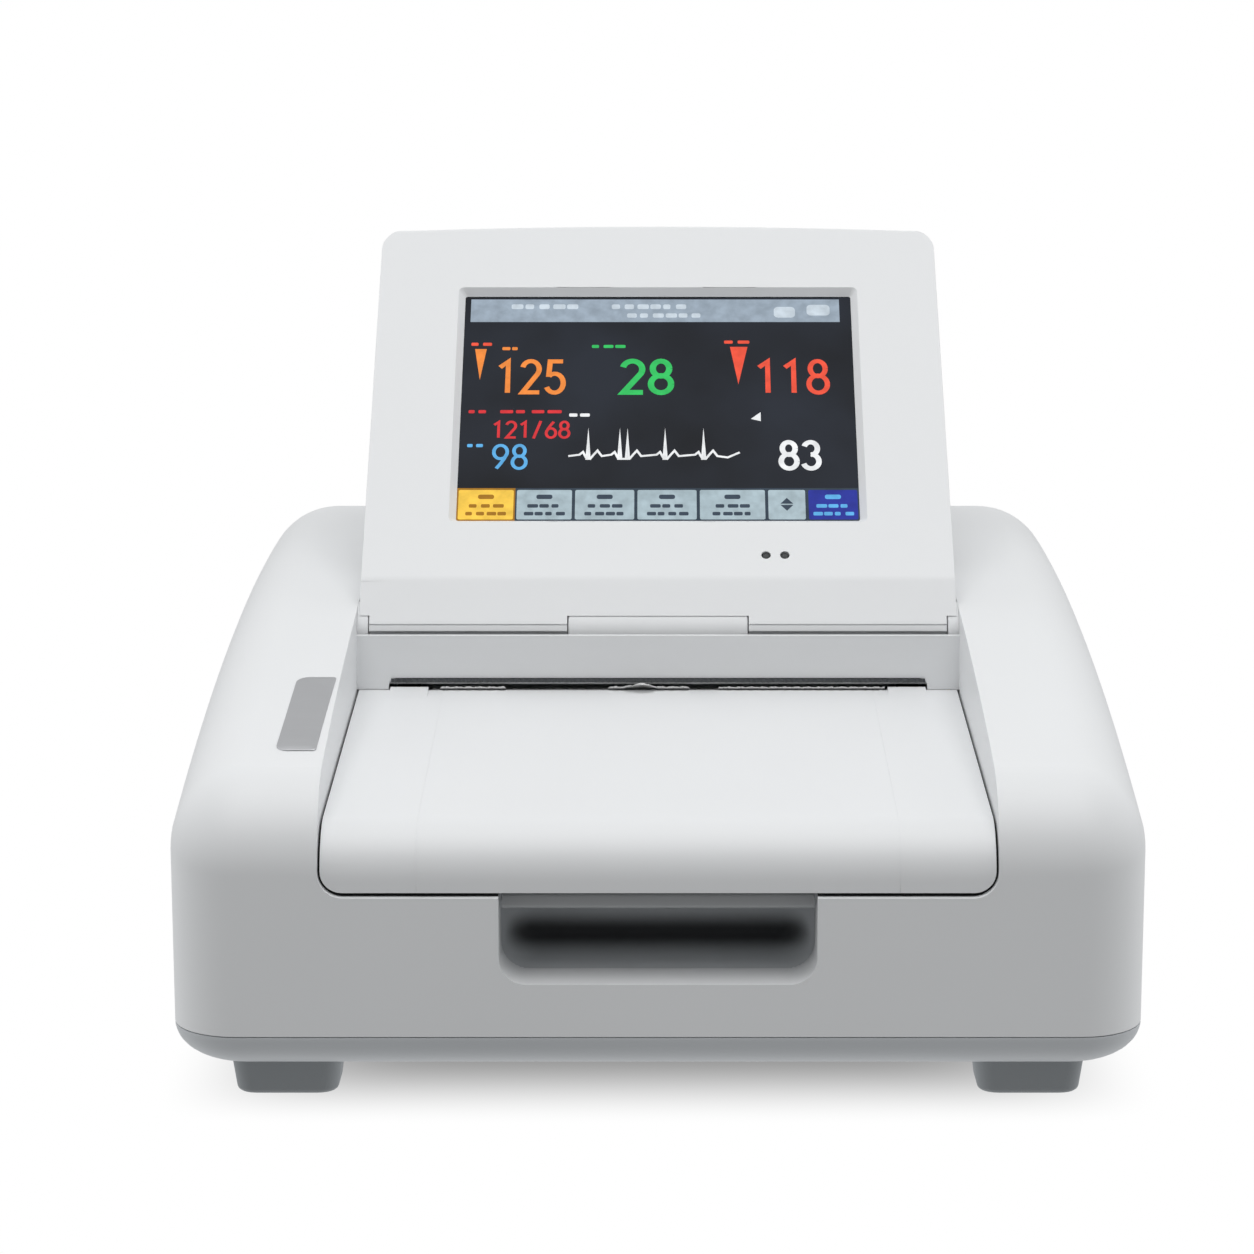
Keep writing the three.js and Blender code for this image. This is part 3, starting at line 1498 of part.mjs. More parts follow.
function tearEdgeStrip() {
  const rear = at(ledgeBack) - fitGap;
  const roots = at(ledgeDistance) - tearEdge.lip + tearEdge.tooth;
  const count = Math.round((2 * tearEdge.halfWidth) / tearEdge.pitch);
  const pitch = (2 * tearEdge.halfWidth) / count;
  const points = [
    [tearEdge.halfWidth, rear],
    [-tearEdge.halfWidth, rear],
    [-tearEdge.halfWidth, roots],
  ];
  for (let i = 0; i < count; i++) {
    points.push([-tearEdge.halfWidth + (i + half(1)) * pitch, roots - tearEdge.tooth]);
    points.push([-tearEdge.halfWidth + (i + 1) * pitch, roots]);
  }
  return mesh("tear_edge", prismZ(outline(points), tearEdge.z), darkPlastic);
}

// Paper: a fan-fold pack in the tray, and the web that runs from it round the platen and out of the slot
const packInset = { front: 1.6, rear: 2.4 }; // from the tray's compartment
const packRise = [3.6, 13.3]; // above the drawer's bottom
const packSize = {
  y: [compartmentFront + packInset.front, traySpan[1] - packInset.rear],
  z: packRise.map((rise) => drawerBottomHeight + rise),
};
const paperThickness = 0.3;
const webClearance = 0.1;
const webStartAngle = THREE.MathUtils.degToRad(-40);
const webSteps = 7;
const webExitForward = 6.8; // from the platen's axis
const webExitDrop = 3; // under the floor of the bay
const webExit = { y: platenDistance - webExitForward, z: bayFloorHeight - webExitDrop };
const webMargin = 1;
const webHalf = half(paperWidth) - webMargin;

function paperPack() {
  const x = symmetric(half(paperWidth) - fitGap);
  return mesh("paper_pack", box({ x, y: packSize.y.map(at), z: packSize.z }), paperWhite);
}

function paperWeb() {
  const exitRun = [webExit.y - platenDistance, webExit.z - platenHeight];
  const wrapRadius = platenRadius + webClearance;
  const webEndAngle = Math.atan2(exitRun[1], exitRun[0]) - Math.acos(wrapRadius / Math.hypot(...exitRun));
  const side = (offset) => {
    const radius = wrapRadius + offset;
    const points = [[at(packSize.y[0]) + fitGap, packSize.z[1] + fitGap + paperThickness - offset]];
    for (let i = 0; i <= webSteps; i++) {
      const angle = webStartAngle + (i / webSteps) * (webEndAngle - webStartAngle);
      points.push([at(platenDistance) + radius * Math.cos(angle), platenHeight + radius * Math.sin(angle)]);
    }
    points.push([at(webExit.y), webExit.z + offset]);
    return points;
  };
  const [inner, outer] = [side(0), side(paperThickness)];
  const stretches = inner.slice(1).map((end, i) => {
    const section = outline([inner[i], end, outer[i + 1], outer[i]]);
    return prismX(section, symmetric(webHalf));
  });
  return mesh("paper_web", join(...stretches), paperWhite);
}

// Display, drawn in its own frame: x across, y up the face from the hinge axis, z out of the face
const displaySideGap = 0.8;
const displayHalf = bayHalf - displaySideGap;
const displayTop = chinRun + displayLength;
const displayBack = -noseRadius;
const displayTopRadii = { front: 2.5, back: 8 };
const displayCornerRadius = 10;
const displayArch = 2;
const splitLevel = 8;
const displayWall = 2.5;
const cavityStart = 14.5;
const knuckleGap = 0.6;
const noseHalf = bayHalf - earLength - knuckleGap;
const screenSideInset = 31.5; // from the bay's walls
const screenShares = { start: 0.15625, length: 0.62875 }; // of the display's length
const screenStart = chinRun + screenShares.start * displayLength;
const screenLength = screenShares.length * displayLength;
const screenHalf = bayHalf - screenSideInset;
const windowBevel = 2.3;
const glassThickness = 1.6;
const glassMargin = 3;
const panelDepth = 5;
const panelMargin = 6;
const displayBoard = { thickness: 1.6, margin: 12, height: 4 };
const ledPlaces = [35.7, 41.9];
const ledRise = 9.5; // above the bend of the chin
const ledStart = chinRun + ledRise;
const ledRadius = 1.3;
const faceInside = faceOffset - displayWall;
const displaySteps = 5;

function displaySection() {
  const tangent = Math.atan2(faceOffset, chinRun) + Math.acos(noseRadius / Math.hypot(chinRun, faceOffset));
  const { front: frontRadius, back: backRadius } = displayTopRadii;
  const quarter = half(Math.PI);
  const shape = new THREE.Shape();
  shape.moveTo(0, displayBack);
  shape.absarc(displayTop - backRadius, displayBack + backRadius, backRadius, -quarter, 0, false);
  shape.absarc(displayTop - frontRadius, faceOffset - frontRadius, frontRadius, 0, quarter, false);
  shape.lineTo(chinRun, faceOffset);
  shape.absarc(0, 0, noseRadius, tangent, 3 * quarter, false);
  return shape;
}

function displayPlan(inset) {
  const side = displayHalf - inset;
  const top = displayTop - inset;
  const radius = displayCornerRadius - inset;
  const shape = new THREE.Shape();
  shape.moveTo(-side, -noseRadius - overrun);
  shape.lineTo(side, -noseRadius - overrun);
  shape.absarc(side - radius, top - displayArch - radius, radius, 0, half(Math.PI), false);
  shape.quadraticCurveTo(0, top + displayArch, -side + radius, top - displayArch);
  shape.absarc(-side + radius, top - displayArch - radius, radius, half(Math.PI), Math.PI, false);
  return shape;
}

function displayForm() {
  const section = prismX(displaySection(), symmetric(displayHalf + overrun), displaySteps);
  return section.intersect(
    prismZ(displayPlan(0), [displayBack - overrun, faceOffset + overrun], displaySteps),
  );
}

function displayCavity(z) {
  const inner = prismZ(displayPlan(displayWall), z, displaySteps);
  const ahead = box({ x: symmetric(displayHalf), y: [cavityStart, displayTop], z });
  return inner.intersect(ahead);
}

function hingeCuts() {
  const knuckle = bar("x", knuckleRadius + knuckleGap, symmetric(knuckleHalfWidth + half(knuckleGap)), 0, 0);
  const ears = bothSides((mirrored) => bar("x", earRadius + knuckleGap, mirrored([noseHalf, bayHalf]), 0, 0));
  return [knuckle, ...ears];
}

function displayBezel() {
  const shell = displayForm().intersect(
    box({
      x: symmetric(displayHalf),
      y: [-noseRadius, displayTop],
      z: [splitLevel, faceOffset],
    }),
  );
  const window = taperedBox(
    {
      x: symmetric(screenHalf),
      y: [screenStart, screenStart + screenLength],
      z: [faceInside - fitGap, faceOffset + fitGap],
    },
    windowBevel,
  );
  const leds = ledPlaces.map((x) =>
    bar("z", ledRadius + fitGap, [splitLevel - overrun, faceOffset + overrun], x, ledStart, pinSegments),
  );
  const cavity = displayCavity([splitLevel - overrun, faceInside]);
  return mesh("display_bezel", cut(shell, cavity, window, ...leds, ...hingeCuts()), whitePlastic);
}

function displayBackCover() {
  const top = splitLevel - fitGap;
  const shell = displayForm().intersect(
    box({ x: symmetric(displayHalf), y: [-noseRadius, displayTop], z: [displayBack, top] }),
  );
  const cavity = displayCavity([displayBack + displayWall, splitLevel + overrun]);
  const pinBores = bothSides((mirrored) =>
    bar(
      "x",
      hingePinRadius + pinClearance,
      mirrored([knuckleHalfWidth, displayHalf + overrun]),
      0,
      0,
      pinSegments,
    ),
  );
  const earRooms = bothSides((mirrored) =>
    box({
      x: mirrored([noseHalf, bayHalf]),
      y: [-noseRadius - overrun, hingePinRadius + pinClearance],
      z: [displayBack - overrun, splitLevel + overrun],
    }),
  );
  return mesh(
    "display_back_cover",
    cut(shell, cavity, ...pinBores, ...earRooms, ...hingeCuts()),
    whitePlastic,
  );
}

function displayLayer(margin, z) {
  return box({
    x: symmetric(screenHalf + margin),
    y: [screenStart - margin, screenStart + screenLength + margin],
    z,
  });
}

function displayInside() {
  const glassTop = faceInside - fitGap;
  const panelTop = glassTop - glassThickness - fitGap;
  const boardTop = panelTop - panelDepth - fitGap;
  const boardBottom = boardTop - displayBoard.thickness;
  const connector = box({
    x: symmetric(screenHalf - 2 * displayBoard.margin),
    y: [screenStart + displayBoard.margin, screenStart + 2 * displayBoard.margin],
    z: [boardBottom - displayBoard.height, boardTop],
  });
  const leds = ledPlaces.map((x, i) => {
    const body = join(
      bar("z", ledRadius, [glassTop, faceOffset - fitGap], x, ledStart, pinSegments),
      bar("z", 2 * ledRadius, [glassTop - ledRadius, glassTop], x, ledStart, pinSegments),
    );
    return mesh(`status_led_${i ? "right" : "left"}`, body, darkPlastic);
  });
  return [
    mesh("touch_glass", displayLayer(glassMargin, [glassTop - glassThickness, glassTop]), screenGlass),
    mesh("lcd_panel", displayLayer(panelMargin, [panelTop - panelDepth, panelTop]), darkPlastic),
    mesh(
      "display_board",
      join(displayLayer(-displayBoard.margin, [boardBottom, boardTop]), connector),
      boardGreen,
    ),
    ...leds,
  ];
}

// Hinge block: a half-round knuckle on a foot, in the middle of the bay; the pins reach from it to the ears
const hingeFootReach = { front: 10.9, rear: 3.5 }; // from the hinge axis
const pinOverlap = 16;

function hingeBlock() {
  const knuckle = bar("x", knuckleRadius, symmetric(knuckleHalfWidth), at(hingeDistance), hingeHeight);
  const foot = box({
    x: symmetric(knuckleHalfWidth),
    y: [at(hingeDistance - hingeFootReach.front), at(hingeDistance + hingeFootReach.rear)],
    z: [bayFloorHeight + fitGap, hingeHeight],
  });
  const limit = box(
    { x: symmetric(bodyHalf), y: [at(ledgeBack) + fitGap, back], z: [bayFloorHeight + fitGap, aboveAll] },
  );
  const bores = bothSides((mirrored) =>
    bar(
      "x",
      hingePinRadius + pinClearance,
      mirrored([knuckleHalfWidth - pinOverlap - fitGap, knuckleHalfWidth + overrun]),
      at(hingeDistance),
      hingeHeight,
      pinSegments,
    ),
  );
  return mesh("hinge_block", cut(join(knuckle, foot).intersect(limit), ...bores), whitePlastic);
}

function hingePin(name, side) {
  const span = [knuckleHalfWidth - pinOverlap, bayHalf - fitGap].map((x) => side * x).sort((a, b) => a - b);
  return mesh(name, bar("x", hingePinRadius, span, at(hingeDistance), hingeHeight, pinSegments), steel);
}

// Latch button for the folded display, in front of the bay's rear lip
function latchButton() {
  const top = bayFloorHeight + latchRise;
  const section = new THREE.Shape();
  section.moveTo(latchSpan[0], bayFloorUnderside - latchStem);
  section.lineTo(latchSpan[1], bayFloorUnderside - latchStem);
  section.absarc(
    half(latchSpan[0] + latchSpan[1]),
    top - half(latchDepth),
    half(latchDepth),
    0,
    Math.PI,
    false,
  );
  return mesh("display_latch_button", prismX(section, symmetric(latchHalfWidth), footSteps), greyPlastic);
}

// The whole device
const cardiotocograph = new THREE.Group();

const displayGroup = new THREE.Group();
displayGroup.position.set(0, at(hingeDistance), hingeHeight);
displayGroup.rotation.x = displayTilt;
displayGroup.add(displayBezel(), displayBackCover(), ...displayInside());

const drawerGroup = new THREE.Group();
drawerGroup.add(drawerCover(), drawerTray(), releaseLever(), leverPin());
drawerGroup.add(
  platenRoller(),
  platenShaft(),
  platenBush("platen_bush_left", -1),
  platenBush("platen_bush_right", 1),
);
drawerGroup.add(platenGear(), paperPack(), paperWeb());

const baseGroup = new THREE.Group();
baseGroup.add(upperHousing(), baseTray(), ...feet(), ...baseScrews());
baseGroup.add(chassisPlate(), mainBoard(), powerSupply(), loudspeaker());
baseGroup.add(connectorPanel(), ...socketPlaces.map((_, index) => transducerSocket(index)));
baseGroup.add(rearPanel(), mainsInlet(), earthStud(), ...rearScrews());
baseGroup.add(...interfacePlaces.map((x, i) => interfaceSocket(`interface_socket_${i + 1}`, x)));
baseGroup.add(guideRailPiece("guide_rail_left", -1), guideRailPiece("guide_rail_right", 1));
baseGroup.add(printHead(), tearEdgeStrip(), stepperMotor(), motorPinion(), driveGear(), driveGearAxle());
baseGroup.add(hingeBlock(), hingePin("hinge_pin_left", -1), hingePin("hinge_pin_right", 1), latchButton());

cardiotocograph.add(baseGroup, drawerGroup, displayGroup);

export default cardiotocograph;
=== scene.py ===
import json
import math

import bmesh
import bpy
from mathutils import Matrix, Vector


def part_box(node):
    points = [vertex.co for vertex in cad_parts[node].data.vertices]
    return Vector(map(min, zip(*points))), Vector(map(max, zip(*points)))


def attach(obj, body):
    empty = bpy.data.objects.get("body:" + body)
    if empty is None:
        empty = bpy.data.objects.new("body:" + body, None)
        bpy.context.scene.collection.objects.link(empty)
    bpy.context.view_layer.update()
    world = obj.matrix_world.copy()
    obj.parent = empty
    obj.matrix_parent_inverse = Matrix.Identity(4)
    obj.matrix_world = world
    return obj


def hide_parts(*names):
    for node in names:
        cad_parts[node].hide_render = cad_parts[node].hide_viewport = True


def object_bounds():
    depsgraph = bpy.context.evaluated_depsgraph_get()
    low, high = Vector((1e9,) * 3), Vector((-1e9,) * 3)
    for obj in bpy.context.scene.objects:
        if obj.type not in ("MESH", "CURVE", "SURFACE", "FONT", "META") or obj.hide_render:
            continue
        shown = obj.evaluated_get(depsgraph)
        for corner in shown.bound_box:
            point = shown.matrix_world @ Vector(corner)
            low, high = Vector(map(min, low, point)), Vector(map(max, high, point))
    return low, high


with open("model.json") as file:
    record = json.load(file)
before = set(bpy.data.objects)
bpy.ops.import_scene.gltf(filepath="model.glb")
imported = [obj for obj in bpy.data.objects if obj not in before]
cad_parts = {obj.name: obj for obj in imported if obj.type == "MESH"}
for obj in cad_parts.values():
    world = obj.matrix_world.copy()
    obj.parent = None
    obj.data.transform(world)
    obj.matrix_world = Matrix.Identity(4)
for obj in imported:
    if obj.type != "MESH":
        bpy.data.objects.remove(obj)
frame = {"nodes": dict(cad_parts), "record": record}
cad_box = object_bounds()

# Camera: stands 1.15 m in front of the middle of the housing, looking slightly down, with a long lens.
# Its shift puts the device right of the frame's centre, as the photograph does.
CAMERA_PLACE = (0.0, -1.1553, 0.3423)
CAMERA_PITCH = math.radians(11.258)
CAMERA_LENS = 101.7
CAMERA_SHIFT = -31 / 1254

camera_data = bpy.data.cameras.new("camera")
camera_data.lens = CAMERA_LENS
camera_data.sensor_width = 36
camera_data.shift_x = CAMERA_SHIFT
camera_data.clip_end = 50
camera = bpy.data.objects.new("camera", camera_data)
camera.location = CAMERA_PLACE
camera.rotation_euler = (math.pi / 2 - CAMERA_PITCH, 0, 0)
bpy.context.scene.collection.objects.link(camera)
bpy.context.scene.camera = camera

# Upper housing: one white moulding. A smooth lofted body whose crest climbs to the rear, with the display's
# bay, the drawer's well, the paper slot and the finger pocket cut out, and every edge softened by the mould.

# The frame: pieces are written down in millimetres, with their depth counted from the front of the housing,
# and a matrix takes them to metres when they are made.
MM = 0.001
FRONT = cad_box[0][1]
BACK = cad_box[1][1]


def at(distance):
    """A place that many millimetres behind the front of the housing."""
    return FRONT + distance * MM


def stand(place, degrees=0, axis="X"):
    """A frame in millimetres at a place in metres, turned about one of its axes."""
    return Matrix.Translation(place) @ Matrix.Rotation(math.radians(degrees), 4, axis) @ Matrix.Scale(MM, 4)


# Shader nodes: every material is grown from them on its piece's own coordinates, so that it looks alike in
# each pose.


def feed(tree, node, inputs):
    """Gives a node's inputs their values, or links them to what other nodes give out."""
    for key, value in inputs.items():
        if isinstance(value, bpy.types.NodeSocket):
            tree.links.new(value, node.inputs[key])
        else:
            node.inputs[key].default_value = value


def grow(tree, kind, inputs, output=0, **settings):
    """Adds a node, sets and feeds it, and hands on one of its outputs."""
    node = tree.nodes.new("ShaderNode" + kind)
    for key, value in settings.items():
        setattr(node, key, value)
    feed(tree, node, inputs)
    return node.outputs[output]


def shader_of(material):
    """A material's node tree, its main shader and the place on the piece."""
    tree = material.node_tree
    return tree, tree.nodes["Principled BSDF"], grow(tree, "TexCoord", {}, "Object")


def fresh(name):
    material = bpy.data.materials.new(name)
    material.use_nodes = True
    return material, *shader_of(material)


def hue(color, share=1.0):
    return (*[min(1, c * share) for c in color], 1)


def noise(tree, place, scale, detail):
    return grow(tree, "TexNoise", {"Vector": place, "Scale": scale, "Detail": detail}, "Fac")


def spread(tree, value, low, high, within=(0, 1), curve="LINEAR"):
    """Takes a value from the range within to a range from low to high."""
    inputs = {"Value": value, "From Min": within[0], "From Max": within[1], "To Min": low, "To Max": high}
    return grow(tree, "MapRange", inputs, "Result", interpolation_type=curve)


def blend(tree, share, first, second, **settings):
    inputs = {"Factor": share, "A": first, "B": second}
    return grow(tree, "Mix", inputs, "Result", data_type="RGBA", **settings)


def plastic(name, color, roughness, grain=0.05, grain_size=0.5, coat=0.0, tint=0.02):
    """Moulded plastic or rubber, with a fine grain and a faint mottle in its colour and gloss."""
    material, tree, shader, place = fresh(name)
    mottle = noise(tree, place, 14, 4)
    fine = noise(tree, place, 1 / (grain_size * MM), 2)
    finish = {
        "IOR": 1.49,
        "Coat Weight": coat,
        "Coat Roughness": 0.2,
        "Roughness": spread(tree, mottle, roughness - 0.06, roughness + 0.06),
        "Base Color": blend(tree, mottle, hue(color, 1 - tint), hue(color, 1 + tint / 2)),
        "Normal": grow(tree, "Bump", {"Strength": grain, "Distance": 0.1 * MM, "Height": fine}, "Normal"),
    }
    feed(tree, shader, finish)
    return material


def paint_shade_round_line(material, y, z, near, far, color):
    """Paints shade into a material: its colour runs over to a darker one round a line that runs across the
    device.
    """
    tree, shader, place = shader_of(material)
    source = shader.inputs["Base Color"].links[0].from_socket
    place = grow(tree, "VectorMath", {0: place, 1: (0, y, z)}, "Vector", operation="SUBTRACT")
    place = grow(tree, "VectorMath", {0: place, 1: (0, 1, 1)}, "Vector", operation="MULTIPLY")
    distance = grow(tree, "VectorMath", {0: place}, "Value", operation="LENGTH")
    share = spread(tree, distance, 1, 0, within=(near, far), curve="SMOOTHSTEP")
    feed(tree, shader, {"Base Color": blend(tree, share, source, hue(color))})


white_plastic = plastic("white_plastic", (0.80, 0.81, 0.82), 0.42)
pocket_plastic = plastic("pocket_plastic", (0.56, 0.58, 0.60), 0.55, grain=0.1, tint=0.06)
# Painted shade: the pocket liner's colour runs to near black round its deepest line, where the hollow lies in
# shade.
paint_shade_round_line(pocket_plastic, at(28.5), 0.0475, 0.0012, 0.0085, (0.02, 0.022, 0.025))
HOUSE = stand((0, FRONT, 0))
SIDES = (-1, 1)


def polar(centre, radius, degrees):
    turned = math.radians(degrees)
    return (centre[0] + radius * math.cos(turned), centre[1] + radius * math.sin(turned))


def arc(centre, radius, start, end, steps):
    """Points on an arc, with its angles in degrees."""
    return [polar(centre, radius, start + (end - start) * i / steps) for i in range(steps + 1)]


def mirrored(side, near, far):
    """The span from near to far, on the left for side -1 and on the right for side 1."""
    return sorted((side * near, side * far))


def rounded(x, y, radii, steps=6):
    """A rectangle's outline with a radius for each corner: low left, low right, high right, high left."""
    a, b, c, d = radii if isinstance(radii, tuple) else (radii,) * 4
    corners = [
        ((x[1] - b, y[0] + b), b, -90),
        ((x[1] - c, y[1] - c), c, 0),
        ((x[0] + d, y[1] - d), d, 90),
        ((x[0] + a, y[0] + a), a, 180),
    ]
    parts = [arc(centre, r, start, start + 90, steps) if r else [centre] for centre, r, start in corners]
    return [p for part in parts for p in part]


def loft(rings, rungs=False, mesh=None):
    """Grows a ring of edges through all rings of places and closes both ends, with rungs where they curve."""
    mesh = mesh or bmesh.new()
    ring = first = bmesh.ops.create_circle(mesh, segments=len(rings[0]), radius=1)["verts"]
    for number, places in enumerate(rings):
        if number:
            edges = [mesh.edges.get((ring[i - 1], ring[i])) for i in range(len(ring))]
            grown = set(bmesh.ops.extrude_edge_only(mesh, edges=edges)["geom"])
            ring = [next(e.other_vert(v) for e in v.link_edges if e.other_vert(v) in grown) for v in ring]
        for vertex, place in zip(ring, places):
            vertex.co = place
    for end in (first, ring):
        if not rungs:
            mesh.faces.new(end)
            continue
        for i in range(len(end) // 2 - 1):
            mesh.faces.new((end[i], end[i + 1], end[-2 - i], end[-1 - i]))
    return mesh


def prism(points, axis, *levels, mesh=None):
    """An outline in the other two axes, run along one axis through two or more levels."""
    order = {"x": lambda p, t: (t, *p), "y": lambda p, t: (p[0], t, p[1]), "z": lambda p, t: (*p, t)}[axis]
    return loft([[order(p, level) for p in points] for level in levels], mesh=mesh)


def block(x, y, z):
    return prism([(x[0], y[0]), (x[1], y[0]), (x[1], y[1]), (x[0], y[1])], "z", *z)


def settle(piece):
    """Sorts a mesh's corners and faces by place, so that every run goes on from the same mesh."""
    old = piece.data
    places = [tuple(round(c, 8) for c in v.co) for v in old.vertices]
    order = sorted(range(len(places)), key=places.__getitem__)
    rank = {index: number for number, index in enumerate(order)}
    faces = []
    for polygon in old.polygons:
        ring = [rank[index] for index in polygon.vertices]
        start = ring.index(min(ring))
        faces.append(ring[start:] + ring[:start])
    piece.data = bpy.data.meshes.new(old.name)
    piece.data.from_pydata([old.vertices[index].co for index in order], [], sorted(faces))
    bpy.data.meshes.remove(old)
    return piece


def link(mesh, name, place=HOUSE):
    """Makes an object of a bmesh, placed in its mesh, with its faces pointing out."""
    mesh.transform(place)
    bmesh.ops.recalc_face_normals(mesh, faces=mesh.faces)
    data = bpy.data.meshes.new(name)
    mesh.to_mesh(data)
    mesh.free()
    piece = bpy.data.objects.new(name, data)
    bpy.context.scene.collection.objects.link(piece)
    return settle(piece)


def carve(piece, *cutters, place=HOUSE, operation="DIFFERENCE"):
    """Cuts solids out of a piece, or joins them to it, one after another."""
    tools = [link(cutter, "cutter", place) for cutter in cutters]
    for tool in tools:
        step = piece.modifiers.new("carve", "BOOLEAN")
        step.operation = operation
        step.solver = "EXACT"
        step.object = tool
    view = bpy.context.evaluated_depsgraph_get()
    old, piece.data = piece.data, bpy.data.meshes.new_from_object(piece.evaluated_get(view))
    piece.modifiers.clear()
    bpy.data.meshes.remove(old)
    for tool in tools:
        bpy.data.objects.remove(tool)
    return settle(piece)


SAME_PLACE = 0.01 * MM


def soften(piece, width, segments=3, angle=32, chosen=None):
    """Rounds a piece's sharp edges, or those of them that a test of their middle chooses."""
    mesh = bmesh.new()
    mesh.from_mesh(piece.data)
    bmesh.ops.remove_doubles(mesh, verts=mesh.verts, dist=SAME_PLACE)
    bmesh.ops.dissolve_degenerate(mesh, edges=mesh.edges, dist=SAME_PLACE)
    sharp = []
    for edge in mesh.edges:
        if len(edge.link_faces) != 2 or edge.calc_face_angle(0) < math.radians(angle):
            continue
        if chosen is None or chosen((edge.verts[0].co + edge.verts[1].co) / 2):
            sharp.append(edge)
    rounding = {"offset": width * MM, "segments": segments, "profile": 0.5, "clamp_overlap": True}
    bmesh.ops.bevel(mesh, geom=sharp, affect="EDGES", material=-1, **rounding)
    mesh.to_mesh(piece.data)
    mesh.free()
    return settle(piece)


def dress(piece, material, body, *nodes, slot=None):
    """Gives a piece its finish, smooth curves beside flat faces, and its body, and hides the nodes it stands
    for. Its slot is worked out from the material's name, unless another is given, but is not used."""
    piece.data.materials.clear()
    piece.data.materials.append(material)
    piece.data.shade_smooth()
    piece.data.set_sharp_from_angle(angle=math.radians(36))
    even = piece.modifiers.new("even", "WEIGHTED_NORMAL")
    even.weight = 80
    even.keep_sharp = True
    slot = slot or material.name.partition(".")[0]
    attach(piece, body)
    if nodes:
        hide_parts(*nodes)
    return piece


HALF_WIDTH = 143
DEPTH = 335
SEAM = 24.0
SHOULDER = 22
FRONT_CORNER = 20
REAR_CORNER = 35
BAY_HALF = 98.5
BAY_FLOOR = 100
LIP_TOP = 106
LEDGE_FRONT = 144.6
LEDGE_BACK = 146.6
LEDGE_TOP = 114
SLOT_HALF = 88
SLOT_TOP = 99.9
DECK = 66.1
WELL_CORNER = 7
POCKET_HALF = 46.2
POCKET_FLOOR = 39.8
POCKET_SILL = 15.4
ABOVE = 150
BAY = (-BAY_HALF, BAY_HALF)
HINGE = (158, 112.8)
HINGE_REAR = 161.5
KNUCKLE = 9.8
HINGE_HALF = 29.4
EAR = (94.8, 98.45)


def crest(y):
    return 99 + 0.17231 * (y - 20) - 0.000427 * (y - 20) * (y - 150)


def plan_ring(inset, height, corner_steps=9, side_steps=26):
    """One level of the housing's outline, drawn in by an inset. Its height depends on the depth."""
    x = HALF_WIDTH - inset
    front_r, rear_r = (r - inset * (r - 2) / SHOULDER for r in (FRONT_CORNER, REAR_CORNER))
    right = arc((x - front_r, inset + front_r), front_r, -90, 0, corner_steps)
    start, end = inset + front_r, DEPTH - inset - rear_r
    right += [(x, start + (end - start) * i / side_steps) for i in range(1, side_steps)]
    right += arc((x - rear_r, end), rear_r, 0, 90, corner_steps)
    places = right + [(-px, py) for px, py in reversed(right)]
    return [(px, py, height(py)) for px, py in places]


def shoulder_rings(steps=14):
    rings = [plan_ring(0, lambda y: SEAM)]
    for k in range(steps + 1):
        turned = math.pi / 2 * k / steps
        drop = SHOULDER * (1 - math.sin(turned))
        rings.append(plan_ring(SHOULDER * (1 - math.cos(turned)), lambda y: crest(y) - drop))
    return rings


def pocket_outline(inset, low, high):
    """The pocket from the front, drawn in at its sides, between two heights, with rounded lower corners."""
    x = POCKET_HALF - inset
    return rounded((-x, x), (low, high), (8, 8, 0, 0), 10)


def pocket_liner():
    """The grey liner at the back of the finger pocket: a bowl, deepest a third of the way up."""
    outside = pocket_outline(0.05, POCKET_FLOOR + 0.05, 60.8)
    liner = link(prism(outside, "y", POCKET_SILL, 28.5), "pocket_liner")
    rings = []
    for i in range(13):
        t = math.radians(90 * i / 12)
        inset, depth = 9 * (1 - math.cos(t)), 12.4 * math.sin(t)
        low, high = POCKET_FLOOR + 7.5 * (1 - math.cos(t)), 66 - 15 * (1 - math.cos(t))
        x = POCKET_HALF - inset + 0.1
        corner = min(8, (high - low) / 2 - 0.05)
        outline = rounded((-x, x), (low, high), corner, 8)
        if not i:
            rings.append([(px, POCKET_SILL - 1, pz) for px, pz in outline])
        rings.append([(px, POCKET_SILL + depth, pz) for px, pz in outline])
    carve(liner, loft(rings, rungs=True))
    return dress(liner, pocket_plastic, "base", slot="grey_plastic")


